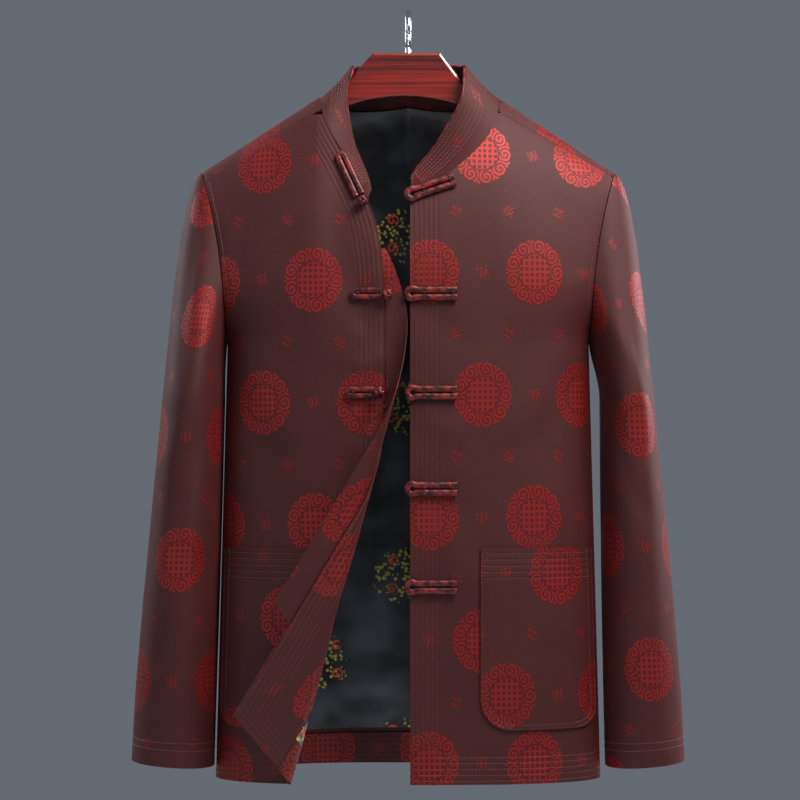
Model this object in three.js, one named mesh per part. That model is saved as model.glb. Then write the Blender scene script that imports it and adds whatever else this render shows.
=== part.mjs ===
// A tang jacket with a stand collar, frog fastenings and patch pockets, hanging open on a wooden hanger.
// Millimetres. +X is the wearer's left, -Y the front, +Z up. The origin is the inner top of the hook.
import * as THREE from "three";
import { mergeVertices } from "three/addons/utils/BufferGeometryUtils.js";

const { Vector3 } = THREE;

// Driving sizes.
const wall = 1.6;
const trimWall = 1;
const seamGap = 0.35;
const armholeGap = 1;
const layerGap = 0.6;
const liningGap = 0.8;

const neckSide = { x: 100, z: -91 };
const shoulderTip = { x: 228, z: -174 };
const neckRise = 0.2;
const shoulderSlope = (neckSide.z - shoulderTip.z) / (shoulderTip.x - neckSide.x);
const seamForward = { atNeck: 18, atTip: 6 };

const underarm = { x: 200, z: -366 };
const armholeBend = 2.2;
const hem = { x: 213, z: -842 };
const squareness = 2.6;
const armholeFullness = { extra: 30, above: 76 };
const front = { depth: 80, round: 240 };
const back = { depthAtChest: 95, depthAtHem: 105, round: 130, neckDrop: 17 };

const frontEdgeLeft = 2;
const neckEnd = { left: -203, right: -212 };
const neckCurveLeft = [[100, -91], [100, -140], [58, -172], [2, -203]];
const neckCurveRight = [[-97, -91], [-95, -124], [-70, -150], [-43, -212]];
const neckHalf = { left: 99, right: 95 };
const frontEdgeRight = { settled: -23, atNeck: 20, fade: 42, drift: 8 };

// The right front's lower corner rolls forward about a slanting line and lies back on the panel.
const rollLine = { top: [-1, -361], bottom: [-132, -844] };
const rollRadius = { top: 24, bottom: 12 };
const rollTurn = THREE.MathUtils.degToRad(152);
const rollPull = 0.42;

const pocket = { top: -586, bottom: -783, inner: 78, outerShare: 0.972, cornerInner: 34, cornerOuter: 22 };
const underlapStrip = { top: -262, bottom: -714, beyond: 25, opensAt: -250, opensOver: 110 };
const facing = { top: -470, width: 68, hemHeight: 40 };
const liningRight = { top: -640, from: -165 };
const collarWall = 3;
const pipingRadius = 1.3;

const rouleau = { halfWidth: 3.6, halfThick: 2.4, apart: 4.05, stretch: 47, eye: 5.2 };
const tail = { halfWidth: 2.8, apart: 3.6 };
const fasteningGap = 1;
const knotRadius = 5.2;
const loops = [
  { x: 4, z: -203, tilt: 19 },
  { x: 4, z: -311, tilt: 0 },
  { x: 4, z: -418, tilt: 0 },
  { x: 4, z: -522, tilt: 0 },
  { x: 4, z: -628, tilt: 0 },
];
const buttons = [
  { x: -49, z: -211, tailX: -53, tailZ: -204, tilt: 115, length: 50 },
  { x: -22, z: -312, tailX: -29, tailZ: -311, tilt: 180, length: 31 },
  { x: -28, z: -418, tailX: -35, tailZ: -418, tilt: 180, length: 30 },
  { x: -25, z: -522, tailX: -33.5, tailZ: -522, tilt: 180, length: 32 },
  { x: -27, z: -628, tailX: -35, tailZ: -628, tilt: 180, length: 36 },
];

// The collar's lean from the neck seam to its top edge, along the loop of the neck:
// 0 is the left front end, 1 the left shoulder, 2 the right shoulder, 3 the right front end.
const collarLean = [
  { place: 0, x: 2, y: 32, z: 27 },
  { place: 0.25, x: -15, y: 31, z: 28 },
  { place: 0.5, x: -26, y: 22, z: 33 },
  { place: 0.75, x: -32, y: 10, z: 34 },
  { place: 1, x: -35, y: 0, z: 37 },
  { place: 1.15, x: -24, y: -10, z: 41 },
  { place: 1.5, x: 0, y: -16, z: 40 },
  { place: 1.85, x: 22, y: -10, z: 41 },
  { place: 2, x: 33, y: 0, z: 36 },
  { place: 2.25, x: 24, y: 14, z: 33 },
  { place: 2.5, x: 14, y: 27, z: 29 },
  { place: 2.75, x: 5, y: 35, z: 25 },
  { place: 3, x: 3, y: 37, z: 22 },
];
const neckPlaces = {
  left: [0, 0.04, 0.1, 0.2, 0.34, 0.48, 0.61, 0.74, 0.86],
  top: [0.93, 1, 1.05, 1.13, 1.24, 1.37, 1.5, 1.63, 1.76, 1.87, 1.95, 2, 2.09],
  right: [2.22, 2.32, 2.43, 2.56, 2.68, 2.8, 2.9, 2.96, 3],
};
const collarCorner = 15;
const collarBulge = 1.5;

// Sleeve sections below the armhole, each an upright oval: outer and inner edges are distances from x = 0.
const sleeveSections = {
  left: [
    { z: -426, outer: 272, inner: 213, depth: 150, y: 0 },
    { z: -530, outer: 282, inner: 213.5, depth: 138, y: -2 },
    { z: -640, outer: 293, inner: 214.5, depth: 126, y: -5 },
    { z: -740, outer: 301, inner: 216, depth: 116, y: -8 },
    { z: -825.5, outer: 305.5, inner: 218, depth: 108, y: -10 },
  ],
  right: [
    { z: -426, outer: 272, inner: 203.4, depth: 150, y: 0 },
    { z: -530, outer: 282, inner: 205.8, depth: 138, y: -2 },
    { z: -640, outer: 293, inner: 208.8, depth: 126, y: -5 },
    { z: -740, outer: 301, inner: 211.8, depth: 116, y: -8 },
    { z: -825.5, outer: 305.5, inner: 214.4, depth: 108, y: -10 },
  ],
};
const sleeveOval = 2.2;
const cuffTilt = 3.5;

const hangerThick = 14;
const hangerBevel = 3;
const hookWire = 3.5;
const hookInner = 16;
const hangerTop = -41;

const lerp = THREE.MathUtils.lerp;
const clamp = THREE.MathUtils.clamp;
const smooth = (v, from, to) => THREE.MathUtils.smoothstep(v, from, to);

function steps(from, to, count) {
  return Array.from({ length: count + 1 }, (_, i) => lerp(from, to, i / count));
}

function rows(...levels) {
  const all = [];
  for (let i = 0; i + 2 < levels.length; i += 2) {
    all.push(...steps(levels[i], levels[i + 2], levels[i + 1]).slice(i ? 1 : 0));
  }
  return all;
}

// ---- The jacket's form ----

function ridgeZ(x) {
  const out = Math.abs(x) - neckSide.x;
  return neckSide.z - out * (out > 0 ? shoulderSlope : neckRise);
}

function seamDrop(x) {
  const share = (Math.abs(x) - neckSide.x) / (shoulderTip.x - neckSide.x);
  return lerp(seamForward.atNeck, seamForward.atTip, clamp(share, 0, 1));
}

function sideX(z) {
  if (z <= underarm.z) {
    return lerp(underarm.x, hem.x, (underarm.z - z) / (underarm.z - hem.z));
  }
  const share = clamp((z - underarm.z) / (shoulderTip.z - underarm.z), 0, 1);
  return underarm.x + (shoulderTip.x - underarm.x) * share ** armholeBend;
}

function sectionHalf(z) {
  return sideX(z) + armholeFullness.extra * smooth(z, underarm.z, underarm.z + armholeFullness.above);
}

// A point of the jacket's outer skin: face -1 is the front, +1 the back.
function skin(x, z, face) {
  const across = (1 - Math.min(Math.abs(x) / sectionHalf(z), 1) ** squareness) ** (1 / squareness);
  const below = Math.max(ridgeZ(x) - z, 0);
  const round = face < 0 ? front.round : back.round;
  const over = Math.sqrt(1 - (1 - Math.min(below / round, 1)) ** 2);
  const toHem = clamp((underarm.z - z) / (underarm.z - hem.z), 0, 1);
  const depth = face < 0 ? front.depth : lerp(back.depthAtChest, back.depthAtHem, toHem);
  return new Vector3(x, face * (depth * across * over + seamGap / 2), z);
}

function bezier(curve, t) {
  const s = 1 - t;
  const part = (k) =>
    curve[0][k] * s ** 3 + 3 * curve[1][k] * s * s * t + 3 * curve[2][k] * s * t * t + curve[3][k] * t ** 3;
  return { x: part(0), z: part(1) };
}

function neckX(curve, z) {
  let low = 0;
  let high = 1;
  for (let i = 0; i < 30; i++) {
    const mid = (low + high) / 2;
    if (bezier(curve, mid).z > z) low = mid;
    else high = mid;
  }
  return bezier(curve, low).x;
}

function rightEdgeX(z) {
  if (z > neckEnd.right) return neckX(neckCurveRight, z);
  const down = neckEnd.right - z;
  const settle = frontEdgeRight.atNeck * Math.exp(-down / frontEdgeRight.fade);
  return frontEdgeRight.settled - settle - (frontEdgeRight.drift * down) / (neckEnd.right - hem.z);
}

function leftEdgeX(z) {
  return z > neckEnd.left ? neckX(neckCurveLeft, z) : frontEdgeLeft;
}

// The front's outer boundary: the shoulder seam, then the armhole, then the side seam.
function frontOuterX(z) {
  const slope = shoulderSlope + (seamForward.atTip - seamForward.atNeck) / (shoulderTip.x - neckSide.x);
  const seam = neckSide.x + (neckSide.z - seamForward.atNeck - seamGap - z) / slope;
  return Math.min(seam, sideX(z));
}

// The roll of the turned corner, as a map of the flat front on to its place.
const rollDown = new THREE.Vector2(
  rollLine.bottom[0] - rollLine.top[0],
  rollLine.bottom[1] - rollLine.top[1],
);
const rollLength = rollDown.length();
rollDown.divideScalar(rollLength);
const rollOut = new THREE.Vector2(rollDown.y, -rollDown.x);

function rightSkin(x, z) {
  const fromTop = new THREE.Vector2(x - rollLine.top[0], z - rollLine.top[1]);
  const along = fromTop.dot(rollDown);
  const radius = lerp(rollRadius.top, rollRadius.bottom, clamp(along / rollLength, 0, 1));
  const past = radius - fromTop.dot(rollOut);
  if (past <= 0) return skin(x, z, -1);
  const foot = { x: x + rollOut.x * past, z: z + rollOut.y * past };
  const turn = Math.min(past / radius, rollTurn);
  const flat = past - turn * radius;
  const beyond = radius * Math.sin(turn) + flat * Math.cos(turn);
  const forward = radius * (1 - Math.cos(turn)) + flat * Math.sin(turn);
  const pulled = rollPull * Math.max(0, past - (radius * Math.PI) / 2);
  return new Vector3(
    foot.x - rollOut.x * beyond - rollDown.x * pulled,
    skin(foot.x, foot.z, -1).y - forward,
    foot.z - rollOut.y * beyond - rollDown.y * pulled,
  );
}

const leftSkin = (x, z) => skin(x, z, -1);
const backSkin = (x, z) => skin(x, z, 1);

// The skin's outward direction, by small differences.
function outward(map, x, z, face) {
  const small = 0.4;
  if (ridgeZ(x) - z < 0.01) {
    const slope = Math.abs(x) > neckSide.x ? shoulderSlope : neckRise;
    return new Vector3(Math.sign(x) * slope, 0, 1).normalize();
  }
  const limit = sectionHalf(z);
  if (Math.abs(x) > limit - 0.01) return new Vector3(Math.sign(x), 0, 0);
  const a = map(clamp(x + small, -limit, limit), z).sub(map(clamp(x - small, -limit, limit), z));
  const b = map(x, z + small).sub(map(x, z - small));
  return a.cross(b).normalize().multiplyScalar(-face);
}

function moved(map, x, z, face, off) {
  return map(x, z).addScaledVector(outward(map, x, z, face), off);
}

// ---- Closed solids from grids and rings ----

function solidGeometry(points, triangles) {
  const geometry = new THREE.BufferGeometry();
  const flat = points.flatMap((p) => [p.x, p.y, p.z]);
  geometry.setAttribute("position", new THREE.Float32BufferAttribute(flat, 3));
  geometry.setIndex(triangles);
  const merged = mergeVertices(geometry, 1e-4);
  const kept = [];
  const index = merged.index.array;
  for (let i = 0; i < index.length; i += 3) {
    const [a, b, c] = index.slice(i, i + 3);
    if (a !== b && b !== c && c !== a) kept.push(a, b, c);
  }
  return merged.setIndex(kept);
}

// A wall between two grids of the same size. The first grid is the outer side; rows run down, columns to +X.
function wallSolid(outer, inner, flip = false) {
  const rowCount = outer.length;
  const columnCount = outer[0].length;
  const points = [...outer.flat(), ...inner.flat()];
  const lower = rowCount * columnCount;
  const at = (i, j, layer) => layer * lower + i * columnCount + j;
  const triangles = [];
  const quad = (a, b, c, d) => triangles.push(...(flip ? [a, c, b, a, d, c] : [a, b, c, a, c, d]));
  for (let i = 0; i + 1 < rowCount; i++) {
    for (let j = 0; j + 1 < columnCount; j++) {
      quad(at(i, j, 0), at(i + 1, j, 0), at(i + 1, j + 1, 0), at(i, j + 1, 0));
      quad(at(i, j, 1), at(i, j + 1, 1), at(i + 1, j + 1, 1), at(i + 1, j, 1));
    }
  }
  for (let i = 0; i + 1 < rowCount; i++) {
    const last = columnCount - 1;
    quad(at(i, 0, 0), at(i, 0, 1), at(i + 1, 0, 1), at(i + 1, 0, 0));
    quad(at(i, last, 0), at(i + 1, last, 0), at(i + 1, last, 1), at(i, last, 1));
  }
  for (let j = 0; j + 1 < columnCount; j++) {
    const last = rowCount - 1;
    quad(at(0, j, 0), at(0, j + 1, 0), at(0, j + 1, 1), at(0, j, 1));
    quad(at(last, j, 0), at(last, j, 1), at(last, j + 1, 1), at(last, j + 1, 0));
  }
  return solidGeometry(points, triangles);
}

// A patch of cloth over a panel, between two depths off the skin.
// Levels are its rows, and columns gives the places along a row.
function patch({ map, face, levels, columns, outer, inner }) {
  const layer = (off) => levels.map((z) => columns(z).map((x) => moved(map, x, z, face, off)));
  return wallSolid(layer(outer), layer(inner), face > 0);
}

const spreadOver = (from, to, shares) => (z) => shares.map((share) => lerp(from(z), to(z), share));
const clipped = (columns, from, to) => (z) => columns(z).map((x) => clamp(x, from(z), to(z)));

// Rings joined into a tube wall: each ring is a loop of points, outer and inner alike.
function sleeveSolid(outer, inner, flip) {
  const ringCount = outer.length;
  const around = outer[0].length;
  const points = [...outer.flat(), ...inner.flat()];
  const lower = ringCount * around;
  const at = (i, j, layer) => layer * lower + i * around + (j % around);
  const triangles = [];
  const quad = (a, b, c, d) => triangles.push(...(flip ? [a, c, b, a, d, c] : [a, b, c, a, c, d]));
  for (let i = 0; i + 1 < ringCount; i++) {
    for (let j = 0; j < around; j++) {
      quad(at(i, j, 0), at(i + 1, j, 0), at(i + 1, j + 1, 0), at(i, j + 1, 0));
      quad(at(i, j, 1), at(i, j + 1, 1), at(i + 1, j + 1, 1), at(i + 1, j, 1));
    }
  }
  for (let j = 0; j < around; j++) {
    const last = ringCount - 1;
    quad(at(0, j, 0), at(0, j + 1, 0), at(0, j + 1, 1), at(0, j, 1));
    quad(at(last, j, 0), at(last, j, 1), at(last, j + 1, 1), at(last, j + 1, 0));
  }
  return solidGeometry(points, triangles);
}

// A solid cord along a path, flat to the surface whose outward directions are given.
function cordSolid(path, outwards, halfWidth, halfThick, sides) {
  const rings = path.map((point, i) => {
    const along = path[Math.min(i + 1, path.length - 1)].clone().sub(path[Math.max(i - 1, 0)]).normalize();
    const across = new Vector3().crossVectors(along, outwards[i]).normalize();
    const up = new Vector3().crossVectors(across, along).normalize();
    return Array.from({ length: sides }, (_, k) => {
      const angle = (2 * Math.PI * (k + 0.5)) / sides;
      return point
        .clone()
        .addScaledVector(across, halfWidth * Math.cos(angle))
        .addScaledVector(up, halfThick * Math.sin(angle));
    });
  });
  const points = rings.flat();
  const triangles = [];
  for (let i = 0; i + 1 < rings.length; i++) {
    for (let k = 0; k < sides; k++) {
      const next = (k + 1) % sides;
      const a = i * sides + k;
      const b = i * sides + next;
      triangles.push(a, a + sides, b, b, a + sides, b + sides);
    }
  }
  const end = (rings.length - 1) * sides;
  for (let k = 1; k + 1 < sides; k++) {
    triangles.push(0, k, k + 1);
    triangles.push(end, end + k + 1, end + k);
  }
  return solidGeometry(points, triangles);
}

// ---- Materials ----

function finish(color, roughness, metalness = 0) {
  return new THREE.MeshStandardMaterial({ color, roughness, metalness });
}
const brocade = finish("#5a2c2e", 0.55);
const piping = finish("#8e4a48", 0.5);
const lining = finish("#15161a", 0.3);
const redWood = finish("#6e120c", 0.25);
const chrome = finish("#c9ccd0", 0.12, 1);

const jacket = new THREE.Group();

function add(name, geometry, material) {
  const mesh = new THREE.Mesh(geometry, material.clone());
  mesh.name = name;
  jacket.add(mesh);
}

// ---- Body panels ----

const sideShares = (count, crowd) => steps(0, 1, count).map((v) => 1 - (1 - v) ** crowd);
const neckLevels = (curve, places) => places.map((t) => bezier(curve, t).z);

// Where the roll starts and ends on the flat front, as x at a level.
function rollSpan(z) {
  const share = (z - rollLine.top[1]) / (rollLine.bottom[1] - rollLine.top[1]);
  const radius = lerp(rollRadius.top, rollRadius.bottom, clamp(share, 0, 1));
  const start = lerp(rollLine.top[0], rollLine.bottom[0], share) + radius / rollOut.x;
  return { start, length: (-radius * rollTurn) / rollOut.x };
}

// The right front's columns: close together on the roll, whose place moves with the level.
function rightColumns(z) {
  const side = -frontOuterX(z);
  const edge = rightEdgeX(z);
  const roll = rollSpan(z);
  const wide = edge - side;
  const start = Math.min(roll.start, edge - Math.min(30, wide * 0.3));
  const end = Math.min(start + roll.length, edge - Math.min(8, wide * 0.1));
  const toRoll = sideShares(8, 1.35).map((v) => 1 - v).reverse();
  return [
    ...toRoll.map((v) => lerp(side, start, v)),
    ...steps(start, end, 6).slice(1),
    ...steps(end, edge, 3).slice(1),
  ];
}

// Columns of the strip that reaches past the right front's edge.
function stripColumns(z) {
  const { start, length } = rollSpan(z);
  const end = start + length;
  return [start - 60, ...steps(start, end, 9), ...steps(end, end + 90, 4).slice(1)];
}

function frontPanels() {
  const neckLeft = neckLevels(neckCurveLeft, neckPlaces.left.map((place) => 1 - place).reverse());
  const neckRight = neckLevels(neckCurveRight, neckPlaces.right.map((place) => place - 2));
  add("front_left", patch({
    map: leftSkin, face: -1, outer: 0, inner: -wall,
    levels: [...neckLeft, ...rows(neckEnd.left, 4, underarm.z, 6, hem.z).slice(1)],
    columns: spreadOver(leftEdgeX, frontOuterX, sideShares(9, 1.7)),
  }), brocade);
  add("front_right", patch({
    map: rightSkin, face: -1, outer: 0, inner: -wall,
    levels: [...neckRight, ...rows(neckEnd.right, 4, underarm.z, 12, hem.z).slice(1)],
    columns: rightColumns,
  }), brocade);
}

// The back's rows go over the shoulder from the forward seam, round the shoulder blade and straight down.
// A row has a turn, 0 at the seam or neck and 1 at the shoulder blade, or a share of the way to the hem.
function backPoint(share, row, off) {
  let x = share * shoulderTip.x;
  let z = 0;
  let face = 1;
  for (let i = 0; i < 12; i++) {
    const neck = x < neckHalf.left && x > -neckHalf.right;
    const neckBelow = back.neckDrop * (1 - (x / neckSide.x) ** 2);
    const start = neck ? Math.acos(1 - neckBelow / back.round) : -Math.acos(1 - seamDrop(x) / front.round);
    const turn = row.down === undefined ? lerp(start, Math.PI / 2, row.turn) : Math.PI / 2;
    face = turn < 0 ? -1 : 1;
    z = ridgeZ(x) - (turn < 0 ? front.round : back.round) * (1 - Math.cos(turn));
    if (row.down !== undefined) z = lerp(z, hem.z, row.down);
    x = share * sideX(z);
  }
  return moved(face < 0 ? leftSkin : backSkin, x, z, face, off);
}

const backShares = (() => {
  const half = [0.5, 0.64, 0.79, 0.9, 0.97, 1];
  const neckEdge = [neckHalf.left - 0.2, neckHalf.left + 1.1].map((x) => x / shoulderTip.x);
  const neckEdgeRight = [neckHalf.right + 1.1, neckHalf.right - 0.2].map((x) => -x / shoulderTip.x);
  return [
    ...half.map((v) => -v).reverse(), ...neckEdgeRight, -0.3, -0.15, 0, 0.15, 0.3, ...neckEdge, ...half,
  ];
})();
const backDown = steps(0, 1, 7);
const backTurns = [0, 0.1, 0.2, 0.35, 0.55, 0.77, 1];
const liningTopShare = 0.3;

// A row may keep within a share of the width to either side.
function backWall(outerOff, innerOff, shares, rowsAt) {
  const layer = (off) =>
    rowsAt.map((rowAt) =>
      shares.map((share) => {
        const row = rowAt(share);
        const within = row.within ?? 1;
        return backPoint(clamp(share, -within, within), row, off);
      }),
    );
  return wallSolid(layer(outerOff), layer(innerOff), true);
}

const turnRows = (turns, within) => turns.map((turn) => () => ({ turn, within }));
const downRows = (downs) => downs.map((down) => () => ({ down }));

function backPanel() {
  const rowsAt = [...turnRows(backTurns), ...downRows(backDown.slice(1))];
  add("back", backWall(0, -wall, backShares, rowsAt), brocade);
}

// ---- Sleeves ----

const spread = (loop, count) => {
  const curve = new THREE.CatmullRomCurve3(loop);
  curve.arcLengthDivisions = 400;
  return curve.getSpacedPoints(count);
};

// The armhole seam from the shoulder down the front to the underarm and up the back, in even steps.
function armholeLoop(side, around) {
  const shares = steps(0, 1, 24).map((v) => Math.sin((v * Math.PI) / 2) ** 1.4);
  const levels = shares.map((share) => lerp(shoulderTip.z, underarm.z, share));
  const branch = (face) => levels.map((z) => skin(side * sideX(z), z, face));
  const half = (face) => {
    const points = branch(face);
    points[0].y = 0;
    points[points.length - 1].y = 0;
    return spread(points, around / 2);
  };
  return [...half(-1), ...half(1).slice(1, -1).reverse()];
}

// Rings run from the armhole to the cuff; angle 0 is the outer side, a quarter turn the front.
function sleeveRings(side, sections) {
  const around = 16;
  const armhole = armholeLoop(side, around);
  const oval = (section, tilt) =>
    armhole.map((_, j) => {
      const angle = (2 * Math.PI * j) / around;
      const power = 2 / sleeveOval;
      const across = Math.sign(Math.cos(angle)) * Math.abs(Math.cos(angle)) ** power;
      const deep = Math.sign(Math.sin(angle)) * Math.abs(Math.sin(angle)) ** power;
      const middle = (section.outer + section.inner) / 2;
      const half = (section.outer - section.inner) / 2;
      return new Vector3(
        side * (middle + half * across),
        section.y - (section.depth / 2) * deep,
        section.z + tilt * across,
      );
    });
  const bicep = oval(sections[0], 0);
  const head = [0, 0.12, 0.28, 0.5, 0.75].map((t) =>
    armhole.map((start, j) => {
      const angle = (2 * Math.PI * j) / around;
      const top = (1 + Math.cos(angle)) / 2;
      const leave = new Vector3(side * lerp(8, 70, top), -22 * Math.sin(angle), -lerp(60, 30, top));
      const arrive = new Vector3(side * 28 * top, 0, -lerp(60, 260, top));
      const s = start.clone().multiplyScalar(2 * t ** 3 - 3 * t * t + 1);
      s.addScaledVector(leave, t ** 3 - 2 * t * t + t);
      s.addScaledVector(bicep[j], 3 * t * t - 2 * t ** 3);
      s.addScaledVector(arrive, t ** 3 - t * t);
      s.x += side * armholeGap * (1 - t);
      return s;
    }),
  );
  const down = sections.map((section, i) => oval(section, i === sections.length - 1 ? cuffTilt : 0));
  return [...head, ...down];
}

// Moves each point of a grid along the grid's own normal.
function offsetGrid(grid, off, closed) {
  return grid.map((row, i) =>
    row.map((point, j) => {
      const count = row.length;
      const left = closed ? (j + count - 1) % count : Math.max(j - 1, 0);
      const right = closed ? (j + 1) % count : Math.min(j + 1, count - 1);
      const down = grid[Math.min(i + 1, grid.length - 1)][j].clone().sub(grid[Math.max(i - 1, 0)][j]);
      const across = row[right].clone().sub(row[left]);
      return point.clone().addScaledVector(down.cross(across).normalize(), off);
    }),
  );
}

function sleeves() {
  for (const [name, side] of [["left", 1], ["right", -1]]) {
    const outer = sleeveRings(side, sleeveSections[name]);
    const inner = offsetGrid(outer, side * wall, true);
    add("sleeve_" + name, sleeveSolid(outer, inner, side > 0), brocade);
  }
}

// ---- Collar ----

function neckSeam(place) {
  if (place <= 1) {
    const p = bezier(neckCurveLeft, 1 - place);
    return skin(p.x, p.z, -1);
  }
  if (place >= 2) {
    const p = bezier(neckCurveRight, place - 2);
    return skin(p.x, p.z, -1);
  }
  const x = lerp(neckCurveLeft[0][0], neckCurveRight[0][0], place - 1);
  return skin(x, ridgeZ(x) - back.neckDrop * Math.max(0, 1 - (x / neckSide.x) ** 2), 1);
}

const leanCurve = new THREE.CatmullRomCurve3(collarLean.map((row) => new Vector3(row.x, row.y, row.z)));

function leanAt(place) {
  const next = clamp(collarLean.findIndex((row) => row.place >= place), 1, collarLean.length - 1);
  const from = collarLean[next - 1].place;
  const share = (place - from) / (collarLean[next].place - from);
  return leanCurve.getPoint((next - 1 + share) / (collarLean.length - 1));
}

// The share of the collar's height that stands at a place, with its front corners rounded off.
function collarHeightShare(place, height) {
  const here = neckSeam(place);
  const fromEnd = Math.min(here.distanceTo(neckSeam(0)), here.distanceTo(neckSeam(3)));
  const short = Math.max(collarCorner - fromEnd, 0);
  return 1 - (collarCorner - Math.sqrt(collarCorner ** 2 - short ** 2)) / height;
}

function collarPoint(place, up) {
  const lean = leanAt(place);
  const height = lean.length();
  const base = neckSeam(place);
  const share = up * collarHeightShare(place, height);
  const around = neckSeam(Math.min(place + 0.01, 3)).sub(neckSeam(Math.max(place - 0.01, 0)));
  const out = lean.clone().cross(around).normalize();
  return base.addScaledVector(lean, share).addScaledVector(out, collarBulge * Math.sin(Math.PI * up));
}

const collarPlaces = [...neckPlaces.left, ...neckPlaces.top, ...neckPlaces.right];

function collar() {
  const heights = steps(0, 1, 3);
  const bevel = 2.6;
  const base = (lean) => 1.2 + (2 * Math.abs(lean.y)) / lean.length();
  const at = (more) =>
    heights.map((up) =>
      collarPlaces.map((place) => {
        const lean = leanAt(place);
        return collarPoint(place, lerp((base(lean) + more) / lean.length(), 1, up));
      }),
    );
  const outer = at(0);
  const inner = offsetGrid(at(bevel), collarWall, false);
  add("collar", wallSolid(outer, inner, true), brocade);
  const top = collarPlaces.map((place) => collarPoint(place, 1));
  const middle = outer[heights.length - 1].map((p, i) => p.clone().lerp(inner[heights.length - 1][i], 0.5));
  const lift = top.map((p, i) => {
    const along = top[Math.min(i + 1, top.length - 1)].clone().sub(top[Math.max(i - 1, 0)]);
    const through = inner[heights.length - 1][i].clone().sub(p);
    const over = along.cross(through).normalize();
    return over.multiplyScalar(Math.sign(over.dot(leanAt(collarPlaces[i]))));
  });
  const path = middle.map((p, i) => p.clone().addScaledVector(lift[i], pipingRadius + 0.5));
  add("collar_piping", cordSolid(path, lift, pipingRadius, pipingRadius, 5), piping);
}

// ---- Pockets, underlap, facings and linings ----

const cornerCut = (z, radius) => {
  const into = Math.max(pocket.bottom + radius - z, 0);
  return radius - Math.sqrt(Math.max(radius ** 2 - into ** 2, 0));
};
const pocketInnerX = (z) => pocket.inner + cornerCut(z, pocket.cornerInner);
const pocketOuterX = (z) => pocket.outerShare * sideX(z) - cornerCut(z, pocket.cornerOuter);

function pockets() {
  const shared = {
    face: -1, outer: layerGap + trimWall + 0.4, inner: layerGap + 0.1,
    levels: [...steps(pocket.top, -749, 3), -760, -770, -777, pocket.bottom],
  };
  add("pocket_left", patch({
    ...shared, map: leftSkin, columns: spreadOver(pocketInnerX, pocketOuterX, sideShares(7, 1.5)),
  }), brocade);
  add("pocket_right", patch({
    ...shared, map: rightSkin,
    columns: clipped(rightColumns, (z) => -pocketOuterX(z), (z) => -pocketInnerX(z)),
  }), brocade);
}

const underlapX = (z) => {
  const opened = clamp((underlapStrip.opensAt - z) / underlapStrip.opensOver, 0, 1);
  return rightEdgeX(z) + underlapStrip.beyond * (1 - (1 - opened) ** 2);
};
const facingX = (z) => rightEdgeX(z) - facing.width;
const facingTop = hem.z + facing.hemHeight;

function insideRight() {
  const top = -(wall + layerGap);
  const first = { face: -1, map: rightSkin, outer: top, inner: top - trimWall };
  const second = { ...first, outer: first.inner - layerGap, inner: first.inner - layerGap - trimWall };
  const liningLevels = rows(liningRight.top, 4, facingTop + seamGap);
  const beside = (z) => facingX(z) - layerGap;
  add("underlap", patch({
    ...first, levels: rows(underlapStrip.top, 11, underlapStrip.bottom),
    columns: clipped(stripColumns, (z) => rightEdgeX(z) + seamGap, underlapX),
  }), brocade);
  add("facing_right", patch({
    ...second, levels: rows(facing.top, 9, hem.z), columns: clipped(rightColumns, facingX, rightEdgeX),
  }), brocade);
  add("hem_facing_right", patch({
    ...second, levels: [facingTop, hem.z], columns: clipped(rightColumns, () => liningRight.from, beside),
  }), brocade);
  add("lining_right", patch({
    ...second, levels: liningLevels, columns: clipped(rightColumns, () => liningRight.from, beside),
  }), lining);
}

function insideBack() {
  const outer = -(wall + liningGap);
  const inner = outer - trimWall;
  const shares = backShares.slice(2, -2);
  const facingShare = (z) => (share) => {
    const bladeZ = backPoint(share, { turn: 1 }, 0).z;
    return { down: (bladeZ - z) / (bladeZ - hem.z) };
  };
  add("lining_back", backWall(outer, inner, shares, [
    ...turnRows(backTurns.slice(1), liningTopShare),
    ...downRows(backDown.slice(1, -1)), facingShare(facingTop + seamGap),
  ]), lining);
  const hemRows = [facingShare(facingTop), facingShare(hem.z)];
  add("hem_facing_back", backWall(outer, inner, shares, hemRows), brocade);
}

// ---- Frog fastenings ----

// A path drawn in a fastening's own plane, laid on the skin: a runs along the fastening and b across it.
function layOn(map, start, tilt, plan, off) {
  const angle = THREE.MathUtils.degToRad(tilt);
  const spots = plan.map(([a, b]) => ({
    x: start.x + a * Math.cos(angle) - b * Math.sin(angle),
    z: start.z + a * Math.sin(angle) + b * Math.cos(angle),
  }));
  return {
    path: spots.map((s) => moved(map, s.x, s.z, -1, off)),
    outwards: spots.map((s) => outward(map, s.x, s.z, -1)),
  };
}

// Two cords side by side that open into a round eye at the front edge.
const loopPlan = () => {
  const bend = steps(54, 306, 8).map((deg) => {
    const angle = THREE.MathUtils.degToRad(deg);
    return [rouleau.eye * Math.cos(angle), rouleau.eye * Math.sin(angle)];
  });
  const run = steps(rouleau.stretch, 8, 2);
  const away = run.map((a) => [a, rouleau.apart]);
  const home = run.reverse().map((a) => [a, -rouleau.apart]);
  return [...away, ...bend, ...home];
};

// The knot's two cords, which meet in a bend at their far end.
const tailPlan = (length) => {
  const run = steps(0, length - tail.apart, 6);
  const bend = steps(60, -60, 4).map((deg) => {
    const angle = THREE.MathUtils.degToRad(deg);
    return [length - tail.apart + tail.apart * Math.cos(angle), tail.apart * Math.sin(angle)];
  });
  const away = run.map((a) => [a, tail.apart]);
  const home = run.reverse().map((a) => [a, -tail.apart]);
  return [...away, ...bend, ...home];
};

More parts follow.
